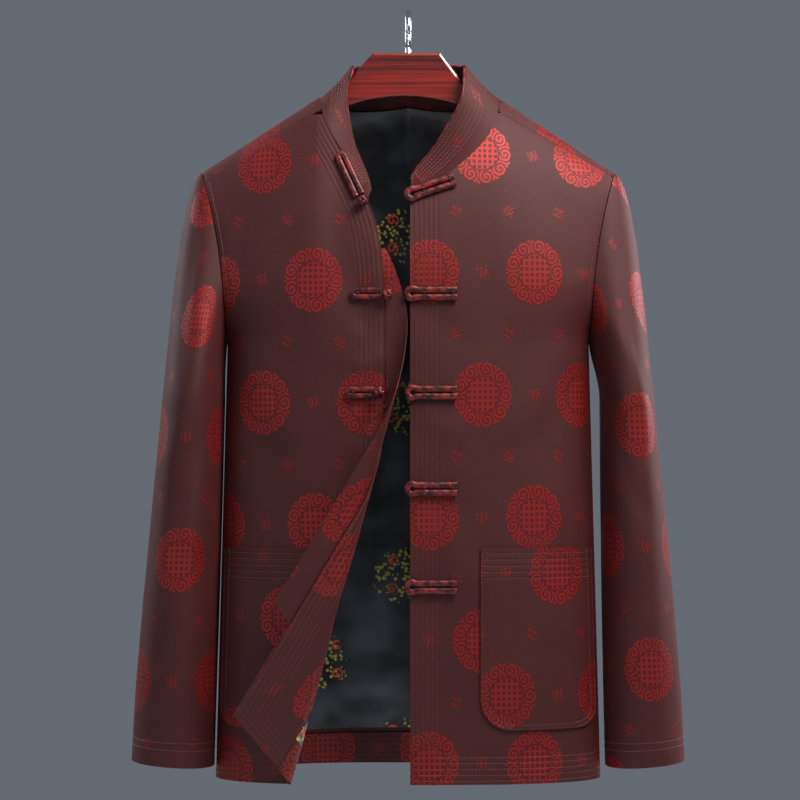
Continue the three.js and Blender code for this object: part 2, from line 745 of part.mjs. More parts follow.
function fastenings() {
  const off = fasteningGap + rouleau.halfThick;
  loops.forEach((loop, i) => {
    const { path, outwards } = layOn(leftSkin, loop, loop.tilt, loopPlan(), off);
    add("loop_" + (i + 1), cordSolid(path, outwards, rouleau.halfWidth, rouleau.halfThick, 6), piping);
  });
  buttons.forEach((button, i) => {
    const start = { x: button.tailX, z: button.tailZ };
    const { path, outwards } = layOn(rightSkin, start, button.tilt, tailPlan(button.length), off);
    add("button_tail_" + (i + 1), cordSolid(path, outwards, tail.halfWidth, rouleau.halfThick, 6), piping);
    const faces = new THREE.IcosahedronGeometry(knotRadius, 1).deleteAttribute("normal").deleteAttribute("uv");
    const ball = mergeVertices(faces);
    const middle = moved(rightSkin, button.x, button.z, -1, fasteningGap + knotRadius);
    ball.translate(middle.x, middle.y, middle.z);
    add("button_" + (i + 1), ball, piping);
  });
}

// ---- Hanger ----

function hanger() {
  const outline = new THREE.Shape();
  outline.moveTo(-39, hangerTop);
  outline.lineTo(-66, -71);
  outline.lineTo(-100, -111);
  outline.lineTo(-205, -173);
  outline.quadraticCurveTo(-215, -179, -209, -186);
  outline.quadraticCurveTo(-204, -192, -190, -184);
  outline.quadraticCurveTo(-95, -112, -66, -100);
  outline.quadraticCurveTo(-4, -79, 57, -100);
  outline.quadraticCurveTo(90, -112, 190, -184);
  outline.quadraticCurveTo(204, -192, 209, -186);
  outline.quadraticCurveTo(215, -179, 205, -173);
  outline.lineTo(100, -111);
  outline.lineTo(60, -73);
  outline.lineTo(36, hangerTop);
  const geometry = new THREE.ExtrudeGeometry(outline, {
    depth: hangerThick - 2 * hangerBevel, bevelThickness: hangerBevel, bevelSize: hangerBevel,
    bevelOffset: -hangerBevel, bevelSegments: 2, curveSegments: 8,
  });
  geometry.translate(0, 0, hangerBevel - hangerThick / 2);
  geometry.rotateX(Math.PI / 2);
  add("hanger", geometry, redWood);
}

function hook() {
  const radius = hookInner + hookWire;
  const arc = steps(38, 285, 20).map((deg) => {
    const angle = THREE.MathUtils.degToRad(deg);
    return new Vector3(0, radius * Math.sin(angle), -hookInner - radius * Math.cos(angle));
  });
  const stem = [[0, hangerTop + seamGap], [0.1, -38.5], [1.6, -35.6], [5, -33.6]];
  const path = [...stem.map(([y, z]) => new Vector3(0, y, z)), ...arc];
  const sideways = path.map(() => new Vector3(1, 0, 0));
  add("hanger_hook", cordSolid(path, sideways, hookWire, hookWire, 12), chrome);
}

frontPanels();
backPanel();
sleeves();
collar();
pockets();
insideRight();
insideBack();
fastenings();
hanger();
hook();

export default jacket;
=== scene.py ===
import math

import bpy
import numpy as np
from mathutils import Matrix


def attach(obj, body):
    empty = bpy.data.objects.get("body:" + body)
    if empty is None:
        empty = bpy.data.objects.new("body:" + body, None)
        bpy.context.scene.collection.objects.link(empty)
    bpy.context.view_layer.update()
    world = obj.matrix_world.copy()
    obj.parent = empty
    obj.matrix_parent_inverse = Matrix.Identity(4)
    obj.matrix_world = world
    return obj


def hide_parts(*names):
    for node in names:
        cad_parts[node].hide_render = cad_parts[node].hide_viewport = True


# A tang jacket with a stand collar, frog fastenings and patch pockets, hanging open on a wooden hanger.
# Lengths in the tables are millimetres; meshes are made in metres. +X is the wearer's left, -Y the front.

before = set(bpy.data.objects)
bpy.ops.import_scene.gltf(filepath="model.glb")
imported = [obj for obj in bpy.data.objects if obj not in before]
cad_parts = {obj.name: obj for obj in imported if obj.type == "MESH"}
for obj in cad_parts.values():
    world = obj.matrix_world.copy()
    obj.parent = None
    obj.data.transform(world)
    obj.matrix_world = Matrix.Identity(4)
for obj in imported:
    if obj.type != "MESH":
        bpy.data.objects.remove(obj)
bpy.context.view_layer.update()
mm = 0.001

cameraView = {
    "place": (-0.009, -2.960, -0.426),  # metres
    "focalLength": 120.0,
    "sensorWidth": 36.0,
}


def makeCamera():
    data = bpy.data.cameras.new("camera")
    data.lens = cameraView["focalLength"]
    data.sensor_width = cameraView["sensorWidth"]
    camera = bpy.data.objects.new("camera", data)
    camera.location = cameraView["place"]
    camera.rotation_euler = (math.pi / 2, 0, 0)
    bpy.context.scene.collection.objects.link(camera)
    bpy.context.scene.camera = camera


makeCamera()
print("camera placed")

# Form of the jacket, as the solid model has it.

form = {
    "wall": 1.6,
    "seamGap": 0.35,
    "armholeGap": 1.0,
    "neckSide": (100, -91),
    "shoulderTip": (228, -174),
    "neckRise": 0.2,
    "seamForwardAtNeck": 18,
    "seamForwardAtTip": 6,
    "underarm": (200, -366),
    "armholeBend": 2.2,
    "hem": (213, -842),
    "squareness": 2.6,
    "fullnessExtra": 30,
    "fullnessAbove": 76,
    "frontDepth": 80,
    "frontRound": 240,
    "backDepthAtChest": 95,
    "backDepthAtHem": 105,
    "backRound": 130,
    "neckDrop": 17,
    "neckHalfLeft": 99,
    "neckHalfRight": 95,
}
frontEdges = {
    "left": 2,
    "neckEndLeft": -203,
    "neckEndRight": -212,
    "rightSettled": -23,
    "rightAtNeck": 20,
    "rightFade": 42,
    "rightDrift": 8,
    "neckCurveLeft": ((100, -91), (100, -140), (58, -172), (2, -203)),
    "neckCurveRight": ((-97, -91), (-95, -124), (-70, -150), (-43, -212)),
}
cornerRoll = {  # the right front's lower corner turns forward about a slanting line
    "top": (-1, -361),
    "bottom": (-132, -844),
    "radiusTop": 24,
    "radiusBottom": 12,
    "turn": math.radians(152),
    "pull": 0.42,
}

neckSideX, neckSideZ = form["neckSide"]
tipX, tipZ = form["shoulderTip"]
underarmX, underarmZ = form["underarm"]
hemX, hemZ = form["hem"]
shoulderSlope = (neckSideZ - tipZ) / (tipX - neckSideX)


def lerp(a, b, share):
    return a + (b - a) * share


def smoothstep(value, low, high):
    share = np.clip((value - low) / (high - low), 0, 1)
    return share * share * (3 - 2 * share)


def ridgeZ(x):
    out = np.abs(x) - neckSideX
    return neckSideZ - out * np.where(out > 0, shoulderSlope, form["neckRise"])


def seamDrop(x):
    share = np.clip((np.abs(x) - neckSideX) / (tipX - neckSideX), 0, 1)
    return lerp(form["seamForwardAtNeck"], form["seamForwardAtTip"], share)


def sideX(z):
    low = lerp(underarmX, hemX, (underarmZ - z) / (underarmZ - hemZ))
    share = np.clip((z - underarmZ) / (tipZ - underarmZ), 0, 1)
    return np.where(z <= underarmZ, low, underarmX + (tipX - underarmX) * share ** form["armholeBend"])


def sectionHalf(z):
    return sideX(z) + form["fullnessExtra"] * smoothstep(z, underarmZ, underarmZ + form["fullnessAbove"])


def skin(x, z, face):
    squareness = form["squareness"]
    across = (1 - np.minimum(np.abs(x) / sectionHalf(z), 1) ** squareness) ** (1 / squareness)
    below = np.maximum(ridgeZ(x) - z, 0)
    rounding = np.where(face < 0, form["frontRound"], form["backRound"])
    over = np.sqrt(1 - (1 - np.minimum(below / rounding, 1)) ** 2)
    toHem = np.clip((underarmZ - z) / (underarmZ - hemZ), 0, 1)
    backDepth = lerp(form["backDepthAtChest"], form["backDepthAtHem"], toHem)
    depth = np.where(face < 0, form["frontDepth"], backDepth)
    y = face * (depth * across * over + form["seamGap"] / 2)
    return np.stack(np.broadcast_arrays(x, y, z), -1)


def bezier(curve, t):
    t = np.asarray(t, float)[..., None]
    a, b, c, d = (np.array(p, float) for p in curve)
    s = 1 - t
    return a * s**3 + 3 * b * s * s * t + 3 * c * s * t * t + d * t**3


neckTables = {}
for side in ("Left", "Right"):
    neckTables[side] = bezier(frontEdges["neckCurve" + side], np.linspace(0, 1, 400))


def neckX(side, z):
    table = neckTables[side][::-1]
    return np.interp(z, table[:, 1], table[:, 0])


def rightEdgeX(z):
    down = np.maximum(frontEdges["neckEndRight"] - z, 0)
    settle = frontEdges["rightAtNeck"] * np.exp(-down / frontEdges["rightFade"])
    drift = frontEdges["rightDrift"] * down / (frontEdges["neckEndRight"] - hemZ)
    below = frontEdges["rightSettled"] - settle - drift
    return np.where(z > frontEdges["neckEndRight"], neckX("Right", z), below)


def leftEdgeX(z):
    return np.where(z > frontEdges["neckEndLeft"], neckX("Left", z), frontEdges["left"])


def frontOuterX(z):
    slope = shoulderSlope + (form["seamForwardAtTip"] - form["seamForwardAtNeck"]) / (tipX - neckSideX)
    seam = neckSideX + (neckSideZ - form["seamForwardAtNeck"] - form["seamGap"] - z) / slope
    return np.minimum(seam, sideX(z))


rollTop = np.array(cornerRoll["top"], float)
rollDown = np.array(cornerRoll["bottom"], float) - rollTop
rollLength = float(np.hypot(*rollDown))
rollDown = rollDown / rollLength
rollOut = np.array([rollDown[1], -rollDown[0]])


def rollRadius(along):
    return lerp(cornerRoll["radiusTop"], cornerRoll["radiusBottom"], np.clip(along, 0, 1))


def rightSkin(x, z):
    fromX, fromZ = x - rollTop[0], z - rollTop[1]
    radius = rollRadius((fromX * rollDown[0] + fromZ * rollDown[1]) / rollLength)
    past = radius - (fromX * rollOut[0] + fromZ * rollOut[1])
    rolled = past > 0
    past = np.maximum(past, 0)
    foot = skin(x + rollOut[0] * past, z + rollOut[1] * past, -1)
    turn = np.minimum(past / radius, cornerRoll["turn"])
    flat = past - turn * radius
    beyond = radius * np.sin(turn) + flat * np.cos(turn)
    forward = radius * (1 - np.cos(turn)) + flat * np.sin(turn)
    pulled = cornerRoll["pull"] * np.maximum(0, past - radius * math.pi / 2)
    moved = np.stack([
        foot[..., 0] - rollOut[0] * beyond - rollDown[0] * pulled,
        foot[..., 1] - forward,
        foot[..., 2] - rollOut[1] * beyond - rollDown[1] * pulled,
    ], -1)
    return np.where(rolled[..., None], moved, skin(x, z, -1))


def rollSpan(z):
    share = (z - rollTop[1]) / (cornerRoll["bottom"][1] - rollTop[1])
    radius = rollRadius(share)
    start = lerp(rollTop[0], cornerRoll["bottom"][0], share) + radius / rollOut[0]
    return start, -radius * cornerRoll["turn"] / rollOut[0]


# Soft creases and stitched channels, as height above the plain form.

stitchRows = {
    "frontEdge": (3.0, 8.4, 13.7, 19.0, 24.3, 29.5),  # distances in from the front edge
    "hem": (3.9, 10.2, 16.6, 23.0, 29.3),
    "pocketTop": (6.5, 13.2, 19.9, 26.6, 33.3),
    "pocketEdge": (1.6, 6.4),
    "collar": (4.5, 9.8, 15.1, 20.4, 25.7, 31.0),
    "cuff": (17.0, 25.0),
    "channelDepth": 0.32,
    "channelWidth": 1.1,
}


def channels(distance, rows):
    total = 0
    for row in rows:
        away = (distance - row) / stitchRows["channelWidth"]
        total = total - stitchRows["channelDepth"] * np.exp(-(away**2))
    return total


# Each crease runs from start to end and sag bends it sideways. A negative height is a trough.
leftCreases = [
    {"start": (186, -352), "end": (92, -470), "sag": 10, "width": 22, "height": 1.5},
    {"start": (190, -372), "end": (132, -560), "sag": -14, "width": 26, "height": -1.8},
    {"start": (60, -232), "end": (98, -420), "sag": 16, "width": 34, "height": -1.4},
    {"start": (14, -330), "end": (60, -372), "sag": 5, "width": 15, "height": -0.9},
    {"start": (12, -438), "end": (66, -462), "sag": -5, "width": 14, "height": 0.9},
    {"start": (14, -560), "end": (72, -640), "sag": 12, "width": 24, "height": 1.5},
    {"start": (44, -650), "end": (58, -842), "sag": -8, "width": 24, "height": -1.7},
    {"start": (128, -700), "end": (118, -842), "sag": 6, "width": 30, "height": 1.6},
    {"start": (150, -190), "end": (184, -300), "sag": 9, "width": 20, "height": -1.3},
]
rightCreases = [
    {"start": (-66, -150), "end": (-58, -330), "sag": -14, "width": 20, "height": -3.0},
    {"start": (-92, -150), "end": (-88, -380), "sag": -10, "width": 26, "height": 1.6},
    {"start": (-34, -250), "end": (-44, -300), "sag": 6, "width": 11, "height": 2.0},
    {"start": (-24, -318), "end": (-52, -352), "sag": -4, "width": 12, "height": -2.0},
    {"start": (-24, -372), "end": (-60, -392), "sag": 4, "width": 11, "height": 1.7},
    {"start": (-26, -428), "end": (-64, -470), "sag": 8, "width": 14, "height": -1.6},
    {"start": (-186, -352), "end": (-110, -480), "sag": -12, "width": 24, "height": 1.7},
    {"start": (-192, -380), "end": (-142, -590), "sag": 14, "width": 28, "height": -2.0},
    {"start": (-160, -190), "end": (-188, -300), "sag": -9, "width": 20, "height": -1.4},
    {"start": (-176, -640), "end": (-168, -842), "sag": 8, "width": 26, "height": 1.7},
    {"start": (-84, -560), "end": (-50, -700), "sag": -10, "width": 22, "height": 1.8},
    {"start": (-44, -700), "end": (-78, -800), "sag": 9, "width": 20, "height": -1.6},
]
backCreases = [
    {"start": (188, -340), "end": (70, -480), "sag": 16, "width": 26, "height": 2.0},
    {"start": (-190, -345), "end": (-84, -462), "sag": -12, "width": 24, "height": 1.8},
    {"start": (150, -220), "end": (120, -420), "sag": -14, "width": 32, "height": -2.2},
    {"start": (-142, -230), "end": (-128, -400), "sag": 12, "width": 30, "height": -2.0},
    {"start": (18, -150), "end": (6, -420), "sag": 12, "width": 42, "height": -1.6},
    {"start": (74, -520), "end": (92, -842), "sag": 12, "width": 30, "height": 2.4},
    {"start": (-46, -480), "end": (-66, -842), "sag": -14, "width": 34, "height": 2.6},
    {"start": (8, -600), "end": (14, -842), "sag": 6, "width": 26, "height": -2.2},
    {"start": (-132, -560), "end": (-122, -842), "sag": 8, "width": 28, "height": -2.0},
    {"start": (152, -600), "end": (146, -842), "sag": -7, "width": 24, "height": -1.7},
]


taperIn, taperOut = (-0.18, 0.3), (0.72, 1.18)  # shares of a crease's length


def creaseHeight(creases, x, z):
    total = np.zeros(np.broadcast(x, z).shape)
    for crease in creases:
        (x0, z0), (x1, z1) = crease["start"], crease["end"]
        length = math.hypot(x1 - x0, z1 - z0)
        dirX, dirZ = (x1 - x0) / length, (z1 - z0) / length
        along = ((x - x0) * dirX + (z - z0) * dirZ) / length
        aside = (x - x0) * -dirZ + (z - z0) * dirX
        bend = crease["sag"] * 4 * np.clip(along, 0, 1) * (1 - np.clip(along, 0, 1))
        taper = smoothstep(along, *taperIn) * (1 - smoothstep(along, *taperOut))
        total = total + crease["height"] * taper * np.exp(-(((aside - bend) / crease["width"]) ** 2))
    return total


def creasesOnly(creases):
    fadeFrom, fadeTo = 26, 4  # in from the side seam
    return lambda x, z: creaseHeight(creases, x, z) * (
        1 - smoothstep(np.abs(x), sideX(z) - fadeFrom, sideX(z) - fadeTo))


def edgeOrHem(inFromEdge, z):
    upFromHem = z - hemZ
    edge = channels(inFromEdge, stitchRows["frontEdge"])
    low = channels(upFromHem, stitchRows["hem"])
    return np.where(inFromEdge < upFromHem, edge, low)


smoothLeft = {"map": lambda x, z: skin(x, z, -1), "face": -1, "relief": creasesOnly(leftCreases)}
smoothRight = {"map": rightSkin, "face": -1, "relief": creasesOnly(rightCreases)}
backPanel = {"map": lambda x, z: skin(x, z, 1), "face": 1, "relief": creasesOnly(backCreases)}


def leftRelief(x, z):
    return smoothLeft["relief"](x, z) + edgeOrHem(x - frontEdges["left"], z)


def rightRelief(x, z):
    return smoothRight["relief"](x, z) + edgeOrHem(rightEdgeX(z) - x, z)


def insideRelief(x, z):  # the rows of stitches sink into the facing from its own side
    return smoothRight["relief"](x, z) - edgeOrHem(rightEdgeX(z) - x, z)


leftPanel = {**smoothLeft, "relief": leftRelief}
rightPanel = {**smoothRight, "relief": rightRelief}
insidePanel = {**smoothRight, "relief": insideRelief}


def surface(panel, x, z, off=0.0):
    x, z = np.broadcast_arrays(np.asarray(x, float), np.asarray(z, float))
    mapped = panel["map"]
    small = 0.5  # half the step for the slopes
    limit = sectionHalf(z) - 0.02
    wide = mapped(np.clip(x + small, -limit, limit), z) - mapped(np.clip(x - small, -limit, limit), z)
    tall = mapped(x, z + small) - mapped(x, z - small)
    normal = np.cross(wide, tall) * -panel["face"]
    sideways = np.stack([np.sign(x), 0 * x, 0 * x], -1)
    normal = np.where((np.abs(x) > limit - small)[..., None], sideways, normal)
    normal /= np.linalg.norm(normal, axis=-1, keepdims=True) + 1e-9
    height = off + panel["relief"](x, z)
    return mapped(x, z) + normal * height[..., None], normal


# Materials.


def toLinear(hexColour):
    channelsOf = [int(hexColour[i:i + 2], 16) / 255 for i in (1, 3, 5)]
    return tuple(c / 12.92 if c <= 0.04045 else ((c + 0.055) / 1.055) ** 2.4 for c in channelsOf) + (1.0,)


def fillInputs(tree, node, values):
    for name, value in values.items():
        if isinstance(value, bpy.types.NodeSocket):
            tree.links.new(value, node.inputs[name])
        else:
            node.inputs[name].default_value = value


def addNode(tree, kind, settings=None, inputs=None, output=0):
    # Gives back one of the node's outputs, by number or name.
    node = tree.nodes.new(kind)
    for name, value in (settings or {}).items():
        setattr(node, name, value)
    fillInputs(tree, node, inputs or {})
    return node.outputs[output] if node.outputs else None


def nearestRepeat(name, halfAcross, halfDown, narrow=None):
    # Two interleaved rows of a repeat: the place within the nearer one, and its squared distance.
    def n(word):
        return name + word

    sums = [
        (n("P1"), "WRAP", "u", halfAcross, -halfAcross),
        (n("Q1"), "WRAP", "v", halfDown, -halfDown),
        (n("U2"), "ADD", "u", halfAcross),
        (n("V2"), "ADD", "v", halfDown),
        (n("P2"), "WRAP", n("U2"), halfAcross, -halfAcross),
        (n("Q2"), "WRAP", n("V2"), halfDown, -halfDown),
    ]
    one, two = n("P1"), n("P2")
    if narrow:
        sums += [(n("N1"), "MULTIPLY", one, narrow), (n("N2"), "MULTIPLY", two, narrow)]
        one, two = n("N1"), n("N2")
    return sums + [
        (n("PP1"), "MULTIPLY", one, one),
        (n("RR1"), "MULTIPLY_ADD", n("Q1"), n("Q1"), n("PP1")),
        (n("PP2"), "MULTIPLY", two, two),
        (n("RR2"), "MULTIPLY_ADD", n("Q2"), n("Q2"), n("PP2")),
        (n("Pick"), "LESS_THAN", n("RR2"), n("RR1")),
        (n("GapP"), "SUBTRACT", two, one),
        (n("GapQ"), "SUBTRACT", n("Q2"), n("Q1")),
        (n("P"), "MULTIPLY_ADD", n("Pick"), n("GapP"), one),
        (n("Q"), "MULTIPLY_ADD", n("Pick"), n("GapQ"), n("Q1")),
        (n("RR"), "MINIMUM", n("RR2"), n("RR1")),
    ]


colourMix = {"data_type": "RGBA"}


def perMetre(*millimetres):
    return tuple(1000 / size for size in millimetres)


def startMaterial(name):
    material = bpy.data.materials.new(name)
    material.use_nodes = True
    tree = material.node_tree
    tree.nodes.clear()
    surface = addNode(tree, "ShaderNodeBsdfPrincipled")
    addNode(tree, "ShaderNodeOutputMaterial", None, {"Surface": surface})
    return material, tree, surface.node


clothMap = "cloth"  # its unit is 100 mm of flat cloth
clothUnit = 100.0

jacquardLook = {
    "ground": "#562022",
    "groundDark": "#240b0c",
    "figure": "#8a2321",
    "figureDark": "#5c1213",
    "groundRoughness": 0.6,
    "figureRoughness": 0.42,
    "figureGloss": 0.4,  # how far the floats act like a coloured mirror
    "roundelAcross": 115.0,  # pitch along a row
    "roundelDown": 266.0,  # two rows
    "roundelRadius": 35.5,
    "roundelNarrow": 1.1,  # the figure is a little taller than it is wide
    "scrolls": 9,
    "scrollCircle": 28.0,
    "innerCircle": 20.0,
    "fretPitch": 6.4,
    "motifSize": 6.6,
    "motifStrength": 0.62,
    "ribPitch": 1.5,  # real ribs are 0.3 mm; drawn coarser so that they show
    "grain": 1.6,  # yarns are 0.15 mm; drawn coarser so that they show
    "wearPatch": 58.8235,
}


def jacquardMaterial():
    # Warp-faced rayon satin with a weft figure: matt maroon ground, and long floats that shine red.
    look = jacquardLook
    material, tree, shader = startMaterial("jacquardRayonWoven")
    cloth = addNode(tree, "ShaderNodeUVMap", {"uv_map": clothMap})
    fine = addNode(tree, "ShaderNodeTexNoise", None, {
        "Vector": cloth, "Scale": clothUnit / look["grain"], "Detail": 2.0})
    halfA, halfD = look["roundelAcross"] / 2, look["roundelDown"] / 2
    sector = math.pi / look["scrolls"]
    fretTurn = 2 * math.pi / look["fretPitch"]
    ribTurn = 2 * math.pi / look["ribPitch"]
    made = {
        "fine": fine,
        "rawU": addNode(tree, "ShaderNodeSeparateXYZ", None, {0: cloth}, 0),
        "rawV": addNode(tree, "ShaderNodeSeparateXYZ", None, {0: cloth}, 1),
    }
    sums = [
        ("u", "MULTIPLY", "rawU", clothUnit),
        ("v", "MULTIPLY", "rawV", clothUnit),
        *nearestRepeat("near", halfA, halfD, look["roundelNarrow"]),
        ("r", "SQRT", "nearRR"),
        ("angle", "ARCTAN2", "nearQ", "nearP"),
        # scalloped outline
        ("scallop", "MULTIPLY", "angle", look["scrolls"] * 2.0),
        ("scallopCos", "COSINE", "scallop"),
        ("outline", "MULTIPLY_ADD", "scallopCos", 0.8, look["roundelRadius"]),
        ("inside", "SUBTRACT", "outline", "r"),
        ("disc", "MINIMUM", "inside", 1.0),
        ("discOnly", "MAXIMUM", "disc", 0.0),
        # cloud scrolls round the ring
        ("sector", "WRAP", "angle", sector, -sector),
        ("sectorCos", "COSINE", "sector"),
        ("sectorSin", "SINE", "sector"),
        ("scrollX", "MULTIPLY_ADD", "r", "sectorCos", -look["scrollCircle"]),
        ("scrollY", "MULTIPLY", "r", "sectorSin"),
        ("scrollXX", "MULTIPLY", "scrollX", "scrollX"),
        ("scrollRR", "MULTIPLY_ADD", "scrollY", "scrollY", "scrollXX"),
        ("scrollR", "SQRT", "scrollRR"),
        ("scrollAngle", "ARCTAN2", "scrollY", "scrollX"),
        ("spiral", "MULTIPLY_ADD", "scrollR", 1.35, "scrollAngle"),
        ("spiralSin", "SINE", "spiral"),
        ("scroll", "MULTIPLY_ADD", "spiralSin", 1.4, 0.75),
        # a square fret in the middle
        ("absP", "ABSOLUTE", "nearP"),
        ("absQ", "ABSOLUTE", "nearQ"),
        ("square", "MAXIMUM", "absP", "absQ"),
        ("fretTurn", "MULTIPLY", "square", fretTurn),
        ("fretCos", "COSINE", "fretTurn"),
        ("crossWay", "MINIMUM", "absP", "absQ"),
        ("crossTurn", "MULTIPLY", "crossWay", fretTurn),
        ("crossCos", "COSINE", "crossTurn"),
        ("fretBoth", "MAXIMUM", "fretCos", "crossCos"),
        ("fret", "MULTIPLY_ADD", "fretBoth", 1.5, 0.1),
        ("ring", "GREATER_THAN", "r", look["innerCircle"]),
        ("detailGap", "SUBTRACT", "scroll", "fret"),
        ("detailRaw", "MULTIPLY_ADD", "ring", "detailGap", "fret"),
        ("rimGap", "SUBTRACT", "r", look["innerCircle"]),
        ("rimAway", "ABSOLUTE", "rimGap"),
        ("rim", "GREATER_THAN", "rimAway", 0.9),
        ("detailLow", "MULTIPLY", "detailRaw", "rim"),
        ("detailTop", "MINIMUM", "detailLow", 1.0),
        ("detail", "MAXIMUM", "detailTop", 0.0),
        ("fill", "MULTIPLY_ADD", "detail", 0.42, 0.58),
        ("roundel", "MULTIPLY", "discOnly", "fill"),
        # small tilted motifs between the roundels
        *nearestRepeat("motif", halfA / 2, halfD / 2),
        ("lean", "MULTIPLY_ADD", "motifPick", -0.66, 0.33),
        ("leanQ", "MULTIPLY", "lean", "motifQ"),
        ("leanP", "MULTIPLY", "lean", "motifP"),
        ("motifX", "ADD", "motifP", "leanQ"),
        ("motifY", "SUBTRACT", "motifQ", "leanP"),
        ("motifAbsX", "ABSOLUTE", "motifX"),
        ("motifAbsY", "ABSOLUTE", "motifY"),
        ("motifSquare", "MAXIMUM", "motifAbsX", "motifAbsY"),
        ("motifIn", "SUBTRACT", look["motifSize"], "motifSquare"),
        ("motifIn1", "MINIMUM", "motifIn", 1.0),
        ("motifDisc", "MAXIMUM", "motifIn1", 0.0),
        ("motifCrossX", "MULTIPLY", "motifX", 1.25),
        ("motifCrossY", "MULTIPLY", "motifY", 1.25),
        ("motifCosX", "COSINE", "motifCrossX"),
        ("motifCosY", "COSINE", "motifCrossY"),
        ("motifWeave", "MULTIPLY", "motifCosX", "motifCosY"),
        ("motifLines", "MULTIPLY_ADD", "motifWeave", 1.6, 0.8),
        ("motifLine1", "MINIMUM", "motifLines", 1.0),
        ("motifLine", "MAXIMUM", "motifLine1", 0.15),
        ("motifShape", "MULTIPLY", "motifDisc", "motifLine"),
        ("clearOf", "GREATER_THAN", "r", look["roundelRadius"] + 3),
        ("motifFree", "MULTIPLY", "motifShape", "clearOf"),
        ("motif", "MULTIPLY", "motifFree", look["motifStrength"]),
        ("figure", "MAXIMUM", "roundel", "motif"),
        # ribs of the weave
        ("ribU", "MULTIPLY", "u", ribTurn),
        ("ribV", "MULTIPLY", "v", ribTurn),
        ("ribSinU", "SINE", "ribU"),
        ("ribSinV", "SINE", "ribV"),
        ("rib", "MULTIPLY", "ribSinU", "ribSinV"),
        ("ribSoft", "MULTIPLY", "rib", 0.12),
        # what stands up for the bump, and what shines
        ("lift", "MULTIPLY_ADD", "figure", 0.22, "ribSoft"),
        ("tooth", "MULTIPLY_ADD", "fine", 0.16, "lift"),
        ("gloss", "MULTIPLY", "figure", look["figureGloss"]),
    ]
    for name, operation, *values in sums:
        inputs = {i: made.get(value, value) for i, value in enumerate(values)}
        made[name] = addNode(tree, "ShaderNodeMath", {"operation": operation}, inputs)
    broad = addNode(tree, "ShaderNodeTexNoise", None, {
        "Vector": cloth, "Scale": clothUnit / look["wearPatch"], "Detail": 3.0})
    ground = addNode(tree, "ShaderNodeMix", colourMix, {
        0: made["fine"], 6: toLinear(look["groundDark"]), 7: toLinear(look["ground"])}, 2)
    red = addNode(tree, "ShaderNodeMix", colourMix, {
        0: made["detail"], 6: toLinear(look["figureDark"]), 7: toLinear(look["figure"])}, 2)
    cover = addNode(tree, "ShaderNodeMix", colourMix, {0: made["figure"], 6: ground, 7: red}, 2)
    wear = addNode(tree, "ShaderNodeMapRange", None, {0: broad, 1: 0.3, 2: 0.7, 3: 0.9, 4: 1.1})
    tinted = addNode(tree, "ShaderNodeHueSaturation", None, {"Value": wear, "Color": cover})
    shine = addNode(tree, "ShaderNodeMapRange", None, {
        0: made["figure"], 3: look["groundRoughness"], 4: look["figureRoughness"]})
    bump = addNode(tree, "ShaderNodeBump", None, {
        "Strength": 0.5, "Distance": 0.001, "Height": made["tooth"]})
    fillInputs(tree, shader, {
        "Base Color": tinted, "Roughness": shine, "Metallic": made["gloss"],
        "Normal": bump, "IOR": 1.5, "Specular IOR Level": 0.3,
        "Sheen Weight": 0.12, "Sheen Roughness": 0.4, "Sheen Tint": toLinear("#d8706c"),
    })
    return material


rouleauLook = {
    # satin and shade are the cord's colour when lit and when in shade; mixed in random patches they are
    # painted sheen and shade
    "satin": "#7c2322", "shade": "#2b0d0f", "roughness": 0.42, "twist": 2.2, "patch": 20 / 3,
}


def rouleauMaterial():
    # Bias-cut satin turned inside out into cord: smooth, with fine slanting ribs that catch the light, and
    # sheen and shade painted into its colour in random patches.
    look = rouleauLook
    material, tree, shader = startMaterial("satinBiasRouleau")
    where = addNode(tree, "ShaderNodeTexCoord", None, None, "Object")
    # painted sheen and shade: random patches between the lit satin colour and the dark shade colour
    paintedSheenNoise = addNode(tree, "ShaderNodeTexNoise", None, {
        "Vector": where, "Scale": perMetre(look["patch"])[0], "Detail": 2.0})
    paintedSheenMask = addNode(tree, "ShaderNodeMapRange", None, {0: paintedSheenNoise, 1: 0.4, 2: 0.62})
    ribs = addNode(tree, "ShaderNodeTexWave", {"bands_direction": "DIAGONAL"}, {
        "Vector": where, "Scale": perMetre(look["twist"])[0] / 20, "Distortion": 1.5}, 1)
    colour = addNode(tree, "ShaderNodeMix", colourMix, {
        0: paintedSheenMask, 6: toLinear(look["shade"]), 7: toLinear(look["satin"])}, 2)
    bump = addNode(tree, "ShaderNodeBump", None, {"Strength": 0.35, "Distance": 0.0006, "Height": ribs})
    fillInputs(tree, shader, {
        "Base Color": colour, "Normal": bump, "Roughness": look["roughness"],
        "Specular IOR Level": 0.35, "Sheen Weight": 0.1, "Sheen Tint": toLinear("#e89088"),
    })
    return material


threadLook = {"colour": "#84423f", "shade": "#4a1f20", "roughness": 0.5, "unevenness": 4.54545}


def threadMaterial():
    # Spun polyester sewing thread: two plies, a little lighter than the cloth.
    material, tree, shader = startMaterial("threadPolyesterSpun")
    where = addNode(tree, "ShaderNodeTexCoord", None, None, "Object")
    uneven = addNode(tree, "ShaderNodeTexNoise", None, {
        "Vector": where, "Scale": perMetre(threadLook["unevenness"])[0]})
    colour = addNode(tree, "ShaderNodeMix", colourMix, {
        0: uneven, 6: toLinear(threadLook["shade"]), 7: toLinear(threadLook["colour"])}, 2)
    fillInputs(tree, shader, {"Base Color": colour, "Roughness": threadLook["roughness"]})
    return material


liningLook = {
    "satin": "#0c0d12",
    "sheen": "#3c4450",
    # painted highlight: the grey put on the black satin where light catches its folds
    "paintedFoldHighlight": "#454953",
    "leaf": "#98a53a",
    "bud": "#c9c24a",
    "curl": "#cc4a1c",
    "roughness": 0.3,
    "across": 180.0,
    "down": 195.0,
    "spray": 30.0,
    "leafSize": 4.6,
    "sprayEdge": 50 / 3,
    "drape": 76.923,
}


